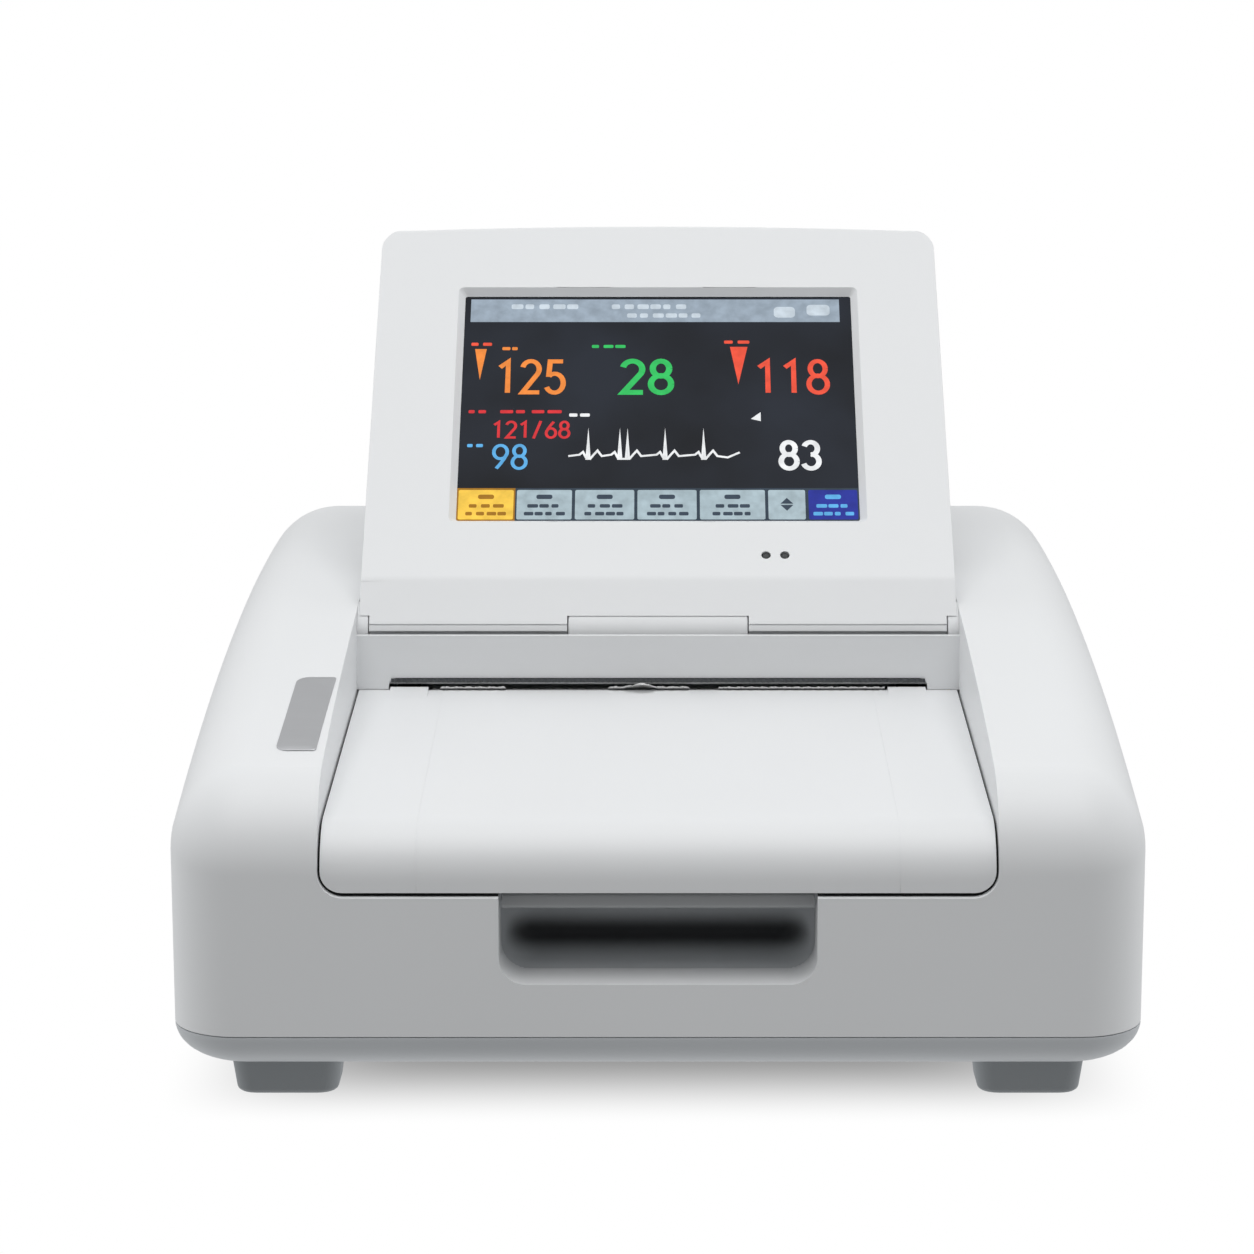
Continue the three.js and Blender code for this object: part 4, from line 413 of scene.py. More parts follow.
def upper_housing():
    well = rounded(BAY, (DECK, ABOVE), (WELL_CORNER, WELL_CORNER, 0, 0), 8)
    lip = rounded(BAY, (DECK - 0.4, ABOVE), (WELL_CORNER + 0.3, WELL_CORNER + 0.3, 0, 0), 8)
    slot = rounded((-SLOT_HALF, SLOT_HALF), (95, SLOT_TOP), (0, 0, 2.5, 2.5))
    side_window = rounded((197, 293), (41, 75), 6)
    rear_window = rounded((-92, 92), (34, 88), 5)
    housing = link(loft(shoulder_rings(), rungs=True), "upper_housing_skin")
    carve(
        housing,
        block(BAY, (LEDGE_BACK, 330), (BAY_FLOOR, ABOVE)),
        block(BAY, (325, 340), (LIP_TOP, ABOVE)),
        prism(well, "y", -5, LEDGE_FRONT),
        prism(lip, "y", -6, 12),
        block(BAY, (140, 150), (LEDGE_TOP, ABOVE)),
        block(BAY, (140, 270), (DECK + 0.01, 96)),
        block((0.01 - BAY_HALF, BAY_HALF - 0.01), (LEDGE_BACK, 269.9), (95, 97.5)),
        prism(slot, "y", 140, LEDGE_BACK),
        prism(pocket_outline(0, POCKET_FLOOR, 72), "y", -5, 28.6),
    )

    def on_rail(p):
        """The upper edge of the bay's and the well's walls, as far as the rear corner."""
        return p.z > 0.0985 and p.y < BACK - 10 * MM and abs(abs(p.x) - BAY_HALF * MM) < 0.1 * MM

    soften(housing, 1.5, 4, chosen=on_rail)
    soften(housing, 0.8, 3)
    room = rounded((-138, 138), (30, 330), (18, 18, 32, 32), 8)
    carve(
        housing,
        prism(room, "z", 20, 60),
        *[block(mirrored(side, 101.5, 138), (30, 300), (55, 78)) for side in SIDES],
        block((101.2, 136), (160, 204), (70, 106)),
        block((-96, 96), (273, 331.9), (27, 95)),
        block((135, 139.9), (193, 297), (37.5, 78.5)),
        prism(side_window, "x", 130, 150),
        prism(rear_window, "y", 325, 340),
        block((-12.3, 12.3), (323.4, 330), (90, 105)),
    )
    return dress(housing, white_plastic, "base", "upper_housing")


def hinge_ears():
    """The bay's two ears, which stand beside the display's nose and hold the outer ends of its hinge."""
    foot = BAY_FLOOR + 0.05
    section = [(HINGE[0] - KNUCKLE, foot), *arc(HINGE, KNUCKLE, 180, -71, 40), (HINGE_REAR, foot)]
    for side, name in zip(SIDES, ("left", "right")):
        ear = link(prism(section, "x", *mirrored(side, *EAR)), f"hinge_ear_{name}")
        soften(ear, 0.5, 3, angle=50, chosen=lambda p: abs(p.x) < 0.096)
        dress(ear, white_plastic, "base")


upper_housing()
pocket_liner()
hinge_ears()

# Base tray: a shallow grey moulding whose lower edge curves in to a flat bottom, with the loudspeaker's
# slots and the four screw holes in it. A thin dark seam separates it from the housing.
grey_plastic = plastic("grey_plastic", (0.57, 0.59, 0.61), 0.48, tint=0.04)


def circle(centre, radius, steps):
    return arc(centre, radius, 0, 360 - 360 / steps, steps - 1)


def rod(axis, radius, span, first, second, steps=48):
    return prism(circle((first, second), radius, steps), axis, *span)


TRAY_TOP = 23.7
SPEAKER = (-85, 92)


def base_tray():
    rings = []
    for k in range(15):
        turned = math.pi / 2 * k / 14
        height = min(12 + 12 * (1 - math.cos(turned)), TRAY_TOP)
        rings.append(plan_ring(18 * (1 - math.sin(turned)), lambda y: height))
    tray = link(loft(rings, rungs=True), "base_tray_skin")
    soften(tray, 0.5, 2)
    slots = []
    for i in range(5):
        x = SPEAKER[0] + (i - 2) * 7
        reach = math.sqrt(400 - (x - SPEAKER[0]) ** 2) - 3
        outline = rounded((x - 1.5, x + 1.5), (SPEAKER[1] - reach, SPEAKER[1] + reach), 1.4)
        slots.append(prism(outline, "z", 5, 20))
    holes = [rod("z", 3.3, (5, 16.8), x, y) for x in (-118, 118) for y in (42, 312)]
    room = rounded((-132, 132), (11, 324), (17, 17, 30, 30), 8)
    carve(tray, prism(room, "z", 14.5, 30), *slots, *holes)
    return dress(tray, grey_plastic, "base", "base_tray")


base_tray()

# Feet: four blocks of grey rubber, moulded with a slight draft and a rounded lower rim. They are glued under
# the tray.
foot_rubber = plastic("foot_rubber", (0.33, 0.35, 0.365), 0.7, grain=0.25, tint=0.08)


def foot(name, x, y):
    half, depth = 16.5, 24
    rings = []
    for height, inset in ((0, 2.7), (0.25, 2.1), (0.8, 1.6), (1.6, 1.3), (11.7, 0)):
        outline = rounded((x - half + inset, x + half - inset), (y + inset, y + depth - inset), 5)
        rings.append([(*p, height) for p in outline])
    return dress(link(loft(rings), f"{name}_skin"), foot_rubber, "base", name)


for side_name, middle in (("left", -110.5), ("right", 110.5)):
    foot(f"foot_{side_name}_front", middle, 18)
    foot(f"foot_{side_name}_rear", middle, 293)

# Drawer cover: a thin white moulding with a large radius at its front and rounded lower corners, a shallow
# line moulded along each side where the paper's edges run, and a small tab at each end of its rear edge.
# Black rubber for the platen; the same black also paints the shade in the gap round the drawer.
black_rubber = plastic("black_rubber", (0.018, 0.018, 0.018), 0.75, grain=0.3, grain_size=0.3, tint=0.1)
COVER_HALF = 97.8
COVER_REAR = 144.3
COVER_SLOPE = (96 - 86.1) / (LEDGE_FRONT - 15)
COVER_TILT = math.atan(COVER_SLOPE)
DRAWER_BOTTOM = 66.9


def cover_line(y):
    return 86.1 + COVER_SLOPE * (y - 15)


def cover_path(inset, rear=COVER_REAR):
    """The cover's front and top in profile, from its foot round to its rear edge, drawn in by an inset."""
    radius = 16
    centre = (1.5 + radius, cover_line(1.5 + radius) - radius / math.cos(COVER_TILT))
    bend = arc(centre, radius - inset, 180, 90 + math.degrees(COVER_TILT), 22)
    return [(1.5 + inset, DRAWER_BOTTOM), *bend, (rear, cover_line(rear) - inset / math.cos(COVER_TILT))]


def drawer_cover():
    facing = rounded((-COVER_HALF, COVER_HALF), (DRAWER_BOTTOM, 110), (6.3, 6.3, 0, 0), 8)
    outside = [*cover_path(0), (COVER_REAR, DRAWER_BOTTOM)]
    cover = link(prism(outside, "x", -COVER_HALF, COVER_HALF), "drawer_cover_skin")
    carve(cover, prism(facing, "y", -10, 200), operation="INTERSECT")
    tab = [(135, 93), (135, cover_line(135) - 0.02), (143.4, 97), (143.9, 97.1), (144.2, 96.8), (144.2, 93)]
    carve(cover, *[prism(tab, "x", *mirrored(side, 75, 87.4)) for side in SIDES], operation="UNION")
    soften(cover, 1.2, 4, chosen=lambda p: abs(p.x) > 0.0925 or p.z < 0.09)
    soften(cover, 0.35, 2)
    inside = [*cover_path(2.5, 150), (150, 60), (4, 60)]
    lines = [*cover_path(0.12, 146), *reversed(cover_path(-2, 146))]
    grooves = [prism(lines, "x", *mirrored(side, 69.9, 70.1)) for side in SIDES]
    carve(cover, prism(inside, "x", 2.5 - COVER_HALF, COVER_HALF - 2.5), *grooves)
    return dress(cover, white_plastic, "drawer", "drawer_cover")


def painted_gap_shade():
    """A thin black sheet on the walls and front edge of the drawer's well: painted shade, which darkens the
    gap round it.
    """
    outer, inner = ((half - BAY_HALF, BAY_HALF - half) for half in (0.05, 0.3))
    front = rounded(outer, (DECK - 0.35, 110), (7.2, 7.2, 0, 0), 8)
    opening = rounded(inner, (DECK - 0.1, 115), (7, 7, 0, 0), 8)
    shade_sheet = link(prism(front, "y", 0.7, 11.9), "painted_gap_shade")
    sides = rounded(outer, (DECK + 0.05, 110), (6.9, 6.9, 0, 0), 8)
    carve(shade_sheet, prism(sides, "y", 11.8, 140), operation="UNION")
    carve(shade_sheet, prism([*cover_path(1.6, 139), (139, 60), (0.5, 60)], "x", -100, 100), operation="INTERSECT")
    centre = rounded(inner, (DECK + 0.3, 115), (6.8, 6.8, 0, 0), 8)
    gap = block((-POCKET_HALF - 0.1, POCKET_HALF + 0.1), (0, 29), (60, 70))
    carve(shade_sheet, prism(opening, "y", -5, 11), prism(centre, "y", 10.9, 150), gap)
    return dress(shade_sheet, black_rubber, "base")


drawer_cover()
# Painted shade: a black sheet lines the drawer's well, so that the gap round the drawer reads dark.
painted_gap_shade()

# Display: two white shells that meet in a fine seam. The face has soft outer edges and a slanted rim round
# the screen, and the round nose at its foot turns on the hinge block and on the ears of the bay.
DISPLAY = stand((0, at(HINGE[0]), HINGE[1] * MM), 41.5)
INTO_DISPLAY = DISPLAY.inverted()
DISPLAY_HALF = 97.7
FACE = 13.6
CHIN = 11.8
NOSE = 10
DISPLAY_TOP = 171.8
SPLIT = 8
SCREEN = (67.5, 37.8, 138.9)
LEDS = (35.7, 41.9)
LED_RISE = 21.3
DISPLAY_ROOM = rounded((-94.7, 94.7), (14.5, 166.5), (1, 1, 8, 8), 6)
AXIS = (0, 0)
NOSE_SPAN = (HINGE_HALF, 94.5)
HINGE_GAP = 0.3


def display_form(name):
    """The display's outside, before its shells are parted, with the softened edges that both shells share."""
    tangent = math.degrees(math.atan2(FACE, CHIN) + math.acos(NOSE / math.hypot(CHIN, FACE)))
    bend = 9
    run = bend * math.tan(math.radians(tangent - 90) / 2)
    half, corner, rise = DISPLAY_HALF, 10, 2
    rings = []
    for i in range(-13, 14):
        across = i / 12
        x = (half - corner) * across if abs(i) < 13 else math.copysign(110, i)
        top = DISPLAY_TOP - rise * min(1, across * across)
        section = [
            *arc((top - 8, 8 - NOSE), 8, -90, 0, 8),
            *arc((top - 2.5, FACE - 2.5), 2.5, 0, 90, 5),
            *arc((CHIN + run, FACE - bend), bend, 90, tangent, 10),
            *arc(AXIS, NOSE, tangent, 270, 26),
        ]
        rings.append([(x, *p) for p in section])
    low = DISPLAY_TOP - rise - corner
    plan = [(half, -20), *arc((half - corner, low), corner, 0, 90, 10), (half - corner, 190)]
    form = link(loft(rings), name, DISPLAY)
    outline = [*plan, *[(-x, y) for x, y in reversed(plan)]]
    carve(form, prism(outline, "z", -15, 20), place=DISPLAY, operation="INTERSECT")
    soften(form, 2.6, 5, chosen=lambda p: (INTO_DISPLAY @ p).z > SPLIT and (INTO_DISPLAY @ p).y > 5)
    return soften(form, 1.4, 4)


def hinge_cuts(radius):
    """The room in the nose for the hinge block and for both ears."""
    half = HINGE_HALF + HINGE_GAP
    spans = [(-half, half), *[mirrored(side, EAR[0] - HINGE_GAP, 99.5) for side in SIDES]]
    return [rod("x", radius, span, *AXIS, 96) for span in spans]


def nose_groove(depth, start, end, steps):
    """A groove along both halves of the nose, between two angles."""
    sector = [*arc(AXIS, NOSE - depth, start, end, steps), *reversed(arc(AXIS, NOSE + 2, start, end, steps))]
    return [prism(sector, "x", *mirrored(side, *NOSE_SPAN)) for side in SIDES]


def display_bezel():
    bezel = display_form("display_bezel_skin")
    window = []
    for edge, height in ((0, 10.5), (0, 11.1), (2.3, FACE), (2.9, FACE + 0.6)):
        half, low, high = SCREEN
        outline = rounded((-half - edge, half + edge), (low - edge, high + edge), 0.8 + edge / 2)
        window.append([(*p, height) for p in outline])
    carve(
        bezel,
        block((-110, 110), (-30, 200), (-30, SPLIT)),
        prism(DISPLAY_ROOM, "z", SPLIT - 1, 11.1),
        loft(window),
        *[rod("z", 1.6, (SPLIT - 1, 20), x, LED_RISE, 24) for x in LEDS],
        *nose_groove(0.55, 113.6, 116.4, 2),
        *hinge_cuts(NOSE + 0.1),
        place=DISPLAY,
    )

    def at_window(p):
        place = INTO_DISPLAY @ p
        return place.z > 12 and abs(place.x) < SCREEN[0] + 4 and place.y > 30

    soften(bezel, 0.5, 3, chosen=at_window, angle=25)
    return dress(bezel, white_plastic, "display", "display_bezel")


def display_back():
    back = display_form("display_back_cover_skin")
    carve(
        back,
        block((-110, 110), (-30, 200), (SPLIT - 0.3, 30)),
        prism(DISPLAY_ROOM, "z", -7, SPLIT + 5),
        *[rod("x", 3.3, mirrored(side, 29, 110), *AXIS, 24) for side in SIDES],
        *[block(mirrored(side, NOSE_SPAN[1], 99), (-15, 3.3), (-15, SPLIT + 5)) for side in SIDES],
        *nose_groove(1.5, 128, 196, 8),
        *hinge_cuts(NOSE + 1.6),
        place=DISPLAY,
    )
    return dress(back, white_plastic, "display", "display_back_cover")


display_bezel()
display_back()

# Screen: a dark glass over a lit panel. Every mark on it is a thin lit shape just over the glass: plain
# numbers, bars, keys and a heart trace, without any word.
GLASS = 10.8


def lit(name, color, strength=0.9, band=(0.78, 1.1), size=260):
    """A shape on the screen: it glows in its own colour, with the faint bands of the panel's rows in it."""
    material, tree, shader, place = fresh(name)
    color = [(c / 255) ** 2.2 for c in color]
    low, high = (strength * share for share in band)
    finish = {
        "Base Color": hue(color, 0.2),
        "Roughness": 0.3,
        "Specular IOR Level": 0.1,
        "Emission Color": hue(color),
        "Emission Strength": spread(tree, noise(tree, place, size, 3), low, high, within=(0.3, 0.7)),
    }
    feed(tree, shader, finish)
    return material


TONES = {
    "bar": (150, 164, 178),
    "pale": (196, 208, 218),
    "key": (166, 184, 192),
    "key_edge": (52, 64, 76),
    "mark": (58, 70, 84),
    "yellow": (246, 200, 78),
    "ochre": (160, 112, 30),
    "navy": (42, 52, 148),
    "orange": (240, 138, 62),
    "scarlet": (236, 84, 62),
    "red": (216, 52, 58),
    "green": (52, 190, 96),
    "blue": (92, 170, 226),
    "white": (236, 238, 240),
}
GLOW = {"dark": lit("screen_dark", (24, 27, 33), 1.0, (0.25, 2.6), 18)}
GLOW.update({tone: lit(f"screen_{tone}", color) for tone, color in TONES.items()})
screen_parts = {glow: bmesh.new() for glow in GLOW}


def show(outline, glow, low, high):
    """Adds a flat shape between two heights over the glass."""
    prism(outline, "z", GLASS + low, GLASS + high, mesh=screen_parts[glow])


def spot(u, v):
    """A place on the screen, given in shares of its width and height from its lower left corner."""
    return (SCREEN[0] * (2 * u - 1), SCREEN[1] + v * (SCREEN[2] - SCREEN[1]))


def patch(outline, glow, low=0.055, high=0.08):
    show([spot(*p) for p in outline], glow, low, high)


def panel(u, v, glow, low=0.0, high=0.05, round_share=0.0):
    (x0, y0), (x1, y1) = spot(u[0], v[0]), spot(u[1], v[1])
    show(rounded((x0, x1), (y0, y1), round_share * (y1 - y0), 4), glow, low, high)


def stroke(points, width):
    """The outline of a line of some width through points, with mitred corners."""
    sides = ([], [])
    points = [Vector(p) for p in points]
    for i, p in enumerate(points):
        before = (p - points[i - 1]) if i else (points[1] - p)
        after = (points[i + 1] - p) if i + 1 < len(points) else before
        first, second = (Vector((-d.y, d.x)).normalized() for d in (before, after))
        middle = (first + second).normalized() if (first + second).length > 0.01 else first
        reach = width / 2 / max(0.45, middle.dot(first))
        sides[0].append(tuple(p + middle * reach))
        sides[1].append(tuple(p - middle * reach))
    return [*sides[0], *reversed(sides[1])]


def bow(x, y, rx, ry, start, end, steps=16):
    return [(x + rx * px, y + ry * py) for px, py in arc((0, 0), 1, start, end, steps)]


SIX = [bow(0.28, 0.29, 0.27, 0.29, 0, 360, 24), [(0.43, 1.0), (0.27, 0.8), (0.12, 0.57), (0.02, 0.36)]]
DIGITS = {
    "1": [[(0.08, 0.8), (0.33, 0.98), (0.33, 0)]],
    "2": [[*bow(0.28, 0.74, 0.26, 0.26, 165, -35), (0.04, 0.01), (0.56, 0.01)]],
    "3": [bow(0.27, 0.76, 0.23, 0.24, 160, -90), bow(0.27, 0.27, 0.27, 0.27, 90, -160)],
    "5": [[(0.52, 0.99), (0.12, 0.99), (0.08, 0.5)], bow(0.27, 0.3, 0.27, 0.3, 132, -155)],
    "6": SIX,
    "8": [bow(0.28, 0.76, 0.22, 0.24, 0, 360, 24), bow(0.28, 0.27, 0.27, 0.27, 0, 360, 24)],
    "9": [[(0.56 - x, 1 - y) for x, y in line] for line in SIX],
    "/": [[(0.05, -0.05), (0.45, 1.05)]],
}


def number(text, u, v, glow, weight=0.125):
    """Digits that fill a share of the picture, each drawn with a stroke of one width."""
    (x0, y0), (x1, y1) = spot(u[0], v[0]), spot(u[1], v[1])
    advance = 0.76
    width = (x1 - x0) / (advance * len(text) - 0.2)
    for i, sign in enumerate(text):
        for level, line in enumerate(DIGITS[sign]):
            line = [(x0 + (advance * i + px) * width, y0 + py * (y1 - y0)) for px, py in line]
            low = 0.055 + 0.004 * level
            show(stroke(line, weight * (y1 - y0)), glow, low, low + 0.04)


def dashes(u, v, count, glow, height=0.014, level=0.055):
    """A row of short bars of uneven length, where such a display has a small caption."""
    width = (u[1] - u[0]) / count
    for i in range(count):
        share = 0.55 + 0.35 * abs(math.sin(2.3 * i + 9 * u[0]))
        reach = (u[0] + i * width, u[0] + (i + share) * width)
        panel(reach, (v, v + height), glow, level, level + 0.025, 0.3)


def trace():
    """The heart trace: a line with five sharp beats, and a small wave after each."""
    beats = (0.115, 0.3, 0.345, 0.565, 0.79)
    points = [(0, -0.004)]
    for i, beat in enumerate(beats):
        points += [(beat - 0.05, 0.002), (beat - 0.03, 0.014), (beat - 0.012, -0.01)] if i != 2 else []
        points += [(beat + 0.012, -0.016)]
        points += [(beat + 0.035, 0.004), (beat + 0.055, 0.02), (beat + 0.08, -0.004)] if i != 1 else []
    points += [(0.93, -0.01), (1, 0.012)]

    def place(share, rise):
        return spot(0.275 + 0.43 * share, 0.285 + rise)

    show(stroke([place(*p) for p in points], 0.8), "white", 0.055, 0.09)
    for beat in beats:
        line = [place(beat - 0.008, -0.02), place(beat, 0.11), place(beat + 0.008, -0.02)]
        show(stroke(line, 0.9), "white", 0.06, 0.094)


def captions():
    for u, v, count, glow, *height in (
        ((0.12, 0.3), 0.945, 5, "pale", 0.022),
        ((0.38, 0.58), 0.945, 6, "pale", 0.022),
        ((0.42, 0.62), 0.905, 6, "pale", 0.02),
        ((0.02, 0.08), 0.775, 2, "scarlet"),
        ((0.1, 0.15), 0.755, 2, "orange"),
        ((0.33, 0.42), 0.765, 3, "green"),
        ((0.67, 0.74), 0.785, 2, "scarlet"),
        ((0.02, 0.07), 0.47, 2, "red"),
        ((0.1, 0.26), 0.47, 4, "red"),
        ((0.02, 0.065), 0.32, 2, "blue"),
        ((0.275, 0.33), 0.455, 2, "white"),
    ):
        dashes(u, v, count, glow, *height)


def keys():
    """The row of seven keys along the foot of the screen. The sixth has two arrows, the others short bars."""
    edges = (0.0, 0.145, 0.29, 0.445, 0.6, 0.77, 0.87, 1.0)
    faces = ("yellow", "key", "key", "key", "key", "key", "navy")
    marks = ("ochre", "mark", "mark", "mark", "mark", "mark", "blue")
    for i, (face, mark) in enumerate(zip(faces, marks)):
        inner = (edges[i] + 0.004, edges[i + 1] - 0.004)
        panel((edges[i], edges[i + 1]), (0.0, 0.142), "key_edge" if i else "ochre", 0.05, 0.06)
        panel(inner, (0.008, 0.134), face, 0.06, 0.08, 0.05)
        middle = sum(inner) / 2
        if i == 5:
            for foot, tip in ((0.07, 0.045), (0.075, 0.1)):
                patch([(middle - 0.016, foot), (middle, tip), (middle + 0.016, foot)], mark, 0.08, 0.09)
            continue
        panel((middle - 0.02, middle + 0.02), (0.095, 0.114), mark, 0.08, 0.09, 0.4)
        dashes((middle - 0.042, middle + 0.048), 0.058, 3, mark, 0.015, 0.085)
        dashes((middle - 0.05, middle + 0.056), 0.025, 4, mark, 0.015, 0.085)


def screen():
    panel((0.0, 1.0), (0.0, 1.0), "dark", -0.001, 0.05)
    panel((0.015, 0.97), (0.885, 0.99), "bar", 0.05, 0.06)
    panel((0.8, 0.855), (0.905, 0.955), "pale", 0.06, 0.075, 0.3)
    panel((0.885, 0.945), (0.915, 0.965), "pale", 0.06, 0.075, 0.3)
    number("125", (0.0895, 0.26), (0.562, 0.705), "orange")
    number("28", (0.408, 0.5345), (0.562, 0.705), "green", 0.15)
    number("118", (0.7516, 0.933), (0.562, 0.705), "scarlet")
    number("121/68", (0.083, 0.276), (0.362, 0.432), "red", 0.14)
    number("98", (0.087, 0.1695), (0.227, 0.328), "blue", 0.12)
    number("83", (0.808, 0.905), (0.227, 0.342), "white", 0.16)
    patch([(0.03, 0.76), (0.045, 0.62), (0.06, 0.76)], "orange")
    patch([(0.685, 0.77), (0.705, 0.6), (0.73, 0.77)], "scarlet")
    patch([(0.735, 0.445), (0.76, 0.435), (0.76, 0.475)], "white")
    captions()
    trace()
    keys()
    for glow, mesh in screen_parts.items():
        piece = link(mesh, f"screen_{glow}", DISPLAY)
        piece.data.materials.append(GLOW[glow])
        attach(piece, "display")


screen()

# Slot and paper: a dark steel tear bar with fine teeth hangs along the top of the slot. The white paper comes
# up from the pack, round the platen, and ends in the ragged edge that the last tear left.


def metal(name, color, roughness, brushed=(1, 1, 1)):
    """Metal with fine streaks in its gloss, drawn out along the axis that has the small number."""
    material, tree, shader, place = fresh(name)
    stretched = grow(tree, "Mapping", {"Vector": place, "Scale": brushed}, "Vector")
    streaks = noise(tree, stretched, 900, 3)
    finish = {
        "Metallic": 1,
        "Roughness": spread(tree, streaks, roughness - 0.08, roughness + 0.1),
        "Base Color": blend(tree, streaks, hue(color, 0.9), hue(color)),
    }
    feed(tree, shader, finish)
    return material


tear_steel = metal("tear_steel", (0.10, 0.105, 0.11), 0.36, (0.03, 1, 1))
PLATEN = (150, 86)
PAPER_END = (143.2, 97)


def tear_bar():
    half, count, root, tip = 87.2, 87, 144.1, 143.7
    tooth = 2 * half / count
    points = [(half, 146.2), (-half, 146.2), (-half, root)]
    for i in range(count):
        points += [(-half + (i + 0.5) * tooth, tip), (-half + (i + 1) * tooth, root)]
    bar = link(prism(points, "z", 98.6, 99.75), "tear_bar")
    dress(bar, tear_steel, "base", "tear_edge", slot="dark_plastic")


def torn_height(x):
    """How far along its last run the paper reaches: 1 is level with the drawer's rear edge."""
    ragged = 0.05 * math.sin(1.7 * x) + 0.04 * math.sin(4.1 * x + 1) + 0.02 * math.sin(9.7 * x)
    for start, end, height in ((-71, -50, 1.02), (-16, 10, 1.05), (20, 79, 1.0)):
        if start <= x <= end:
            return height + ragged
    return 0.72 + ragged / 2


def curl(x):
    """How far one torn corner, a little left of the middle, stands up."""
    peak = -5
    return max(0, 1.2 - abs(x - peak) * (0.18 if x < peak else 0.25))


def paper_web():
    """The paper's section at each place across it, from the pack to its torn edge."""
    gap, thick, half, stride = 7.1, 0.22, 74, 0.5
    run = (PAPER_END[0] - PLATEN[0], PAPER_END[1] - PLATEN[1])
    end = math.degrees(math.atan2(run[1], run[0]) - math.acos(gap / math.hypot(*run)))
    rings = []
    for i in range(round(2 * half / stride) + 1):
        x = i * stride - half
        share = torn_height(x)
        sides = []
        for offset in (0, thick):
            path = [(163.9, 80.5 + thick - offset), *arc(PLATEN, gap + offset, -40, end, 18)]
            y, z = path[-1]
            for part, lift in ((0.8, curl(x)), (1, 0.1 * curl(x))):
                reach = part * (share + 0.3 * min(1, curl(x)))
                path.append((y + (PAPER_END[0] - y) * reach, z + (PAPER_END[1] + offset - z) * reach + lift))
            sides.append(path)
        rings.append([(x, *p) for p in (*sides[0], *reversed(sides[1]))])
    web = link(loft(rings), "paper_web_skin")
    dress(web, paper, "drawer", "paper_web")


def paper_material(name, pages=False):
    """Thermal paper: smooth and white. The pack also shows the faint lines of its folded pages."""
    material = plastic(name, (0.83, 0.83, 0.82), 0.7, grain=0.12, grain_size=0.2, tint=0.03)
    if not pages:
        return material
    tree, shader, place = shader_of(material)
    source = shader.inputs["Base Color"].links[0].from_socket
    waves = {"Vector": place, "Scale": 900, "Distortion": 0.2, "Detail": 2}
    lines = grow(tree, "TexWave", waves, "Color", bands_direction="Z")
    feed(tree, shader, {"Base Color": blend(tree, 0.35, source, lines, blend_type="MULTIPLY")})
    return material


paper = paper_material("paper")
tear_bar()
paper_web()

# Hinge block: the white moulding in the middle of the bay that carries the display. A foot with a fine crease
# where it meets the round knuckle, and a steel pin out of each side that reaches into the bay's ear.
steel = metal("steel", (0.60, 0.61, 0.62), 0.3)


def hinge_block():
    over = []
    for degrees in range(180, -72, -3):
        slimmer = 1.2 * min(1, max(0, (degrees - 22) / 26))
        over.append(polar(HINGE, 11 - slimmer, degrees))
    foot = BAY_FLOOR + 0.3
    section = [(HINGE[0] - KNUCKLE, foot), *over, (HINGE_REAR, foot)]
    piece = link(prism(section, "x", -HINGE_HALF, HINGE_HALF), "hinge_block_skin")
    soften(piece, 0.6, 3, angle=50, chosen=lambda p: abs(p.x) > 0.029)
    carve(piece, *[rod("x", 3.2, mirrored(side, 13.2, 30), *HINGE, 32) for side in SIDES])
    dress(piece, white_plastic, "base", "hinge_block")
    for side, name in zip(SIDES, ("left", "right")):
        ends = ((13.4, 2.5), (13.9, 3), (97.6, 3), (98.2, 2.5))
        pin = loft([[(side * x, *p) for p in circle(HINGE, radius, 48)] for x, radius in ends])
        dress(link(pin, f"hinge_pin_{name}_skin"), steel, "base", f"hinge_pin_{name}")


hinge_block()

# Badge plate: a bare plate of satin aluminium, slightly domed, let into the top of the left rail. It follows
# the rail's curve, its outer corners are round, and a fine step sets it off from the moulding.
badge_metal = metal("badge_metal", (0.60, 0.605, 0.62), 0.42, (0.05, 1, 1))


def badge_plate():
    front, rear, width, left = 32.5, 86.5, 12, -113.2
    rings = []
    for inset, height in ((0, -0.4), (0, 0.36), (0.1, 0.44), (0.9, 0.56), (2.2, 0.68), (3.8, 0.75)):
        corners = tuple(max(0.2, r - inset * 0.6) for r in (3.4, 1.0, 1.0, 4.0))
        outline = rounded((inset, width - inset), (front + inset, rear - inset), corners, 8)
        rings.append([(left + x + 0.028 * (y - front), y, crest(y) + height) for x, y in outline])
    return dress(link(loft(rings), "badge_plate"), badge_metal, "base", slot="aluminium")


badge_plate()

# Screws: steel pan heads with a cross recess, turned in one piece with their shanks. Four hold the base tray
# from below and four the rear panel.


def on_face(node, face):
    """A frame on the middle of one face of a node's box."""
    low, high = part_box(node)
    middle = (low + high) / 2
    if face == "bottom":
        return stand((middle.x, middle.y, low.z))
    if face == "rear":
        return stand((middle.x, high.y, middle.z), 90)
    return stand((high.x, middle.y, middle.z), 90, "Y")


def turn(profile, steps=64):
    """A round piece about its own Z axis, from a profile of radius and height whose ends are on the axis."""
    return loft([[(*p, z) for p in circle((0, 0), max(r, 0.001), steps)] for r, z in profile])


def screw(node, face, length):
    pan = [(0, 0), (1.2, 0), (2.3, 0.25), (2.8, 0.8), (2.9, 1.3), (2.9, 2)]
    shank = [(1.45, 2), (1.45, length - 0.4), (1.1, length), (0, length)]
    place = on_face(node, face)
    piece = link(turn([*pan, *shank], 40), f"{node}_skin", place)
    cross = [block((-1.7, 1.7), (-0.35, 0.35), (-1, 0.9)), block((-0.35, 0.35), (-1.7, 1.7), (-1, 0.9))]
    carve(piece, *cross, place=place)
    dress(piece, steel, "base", node)


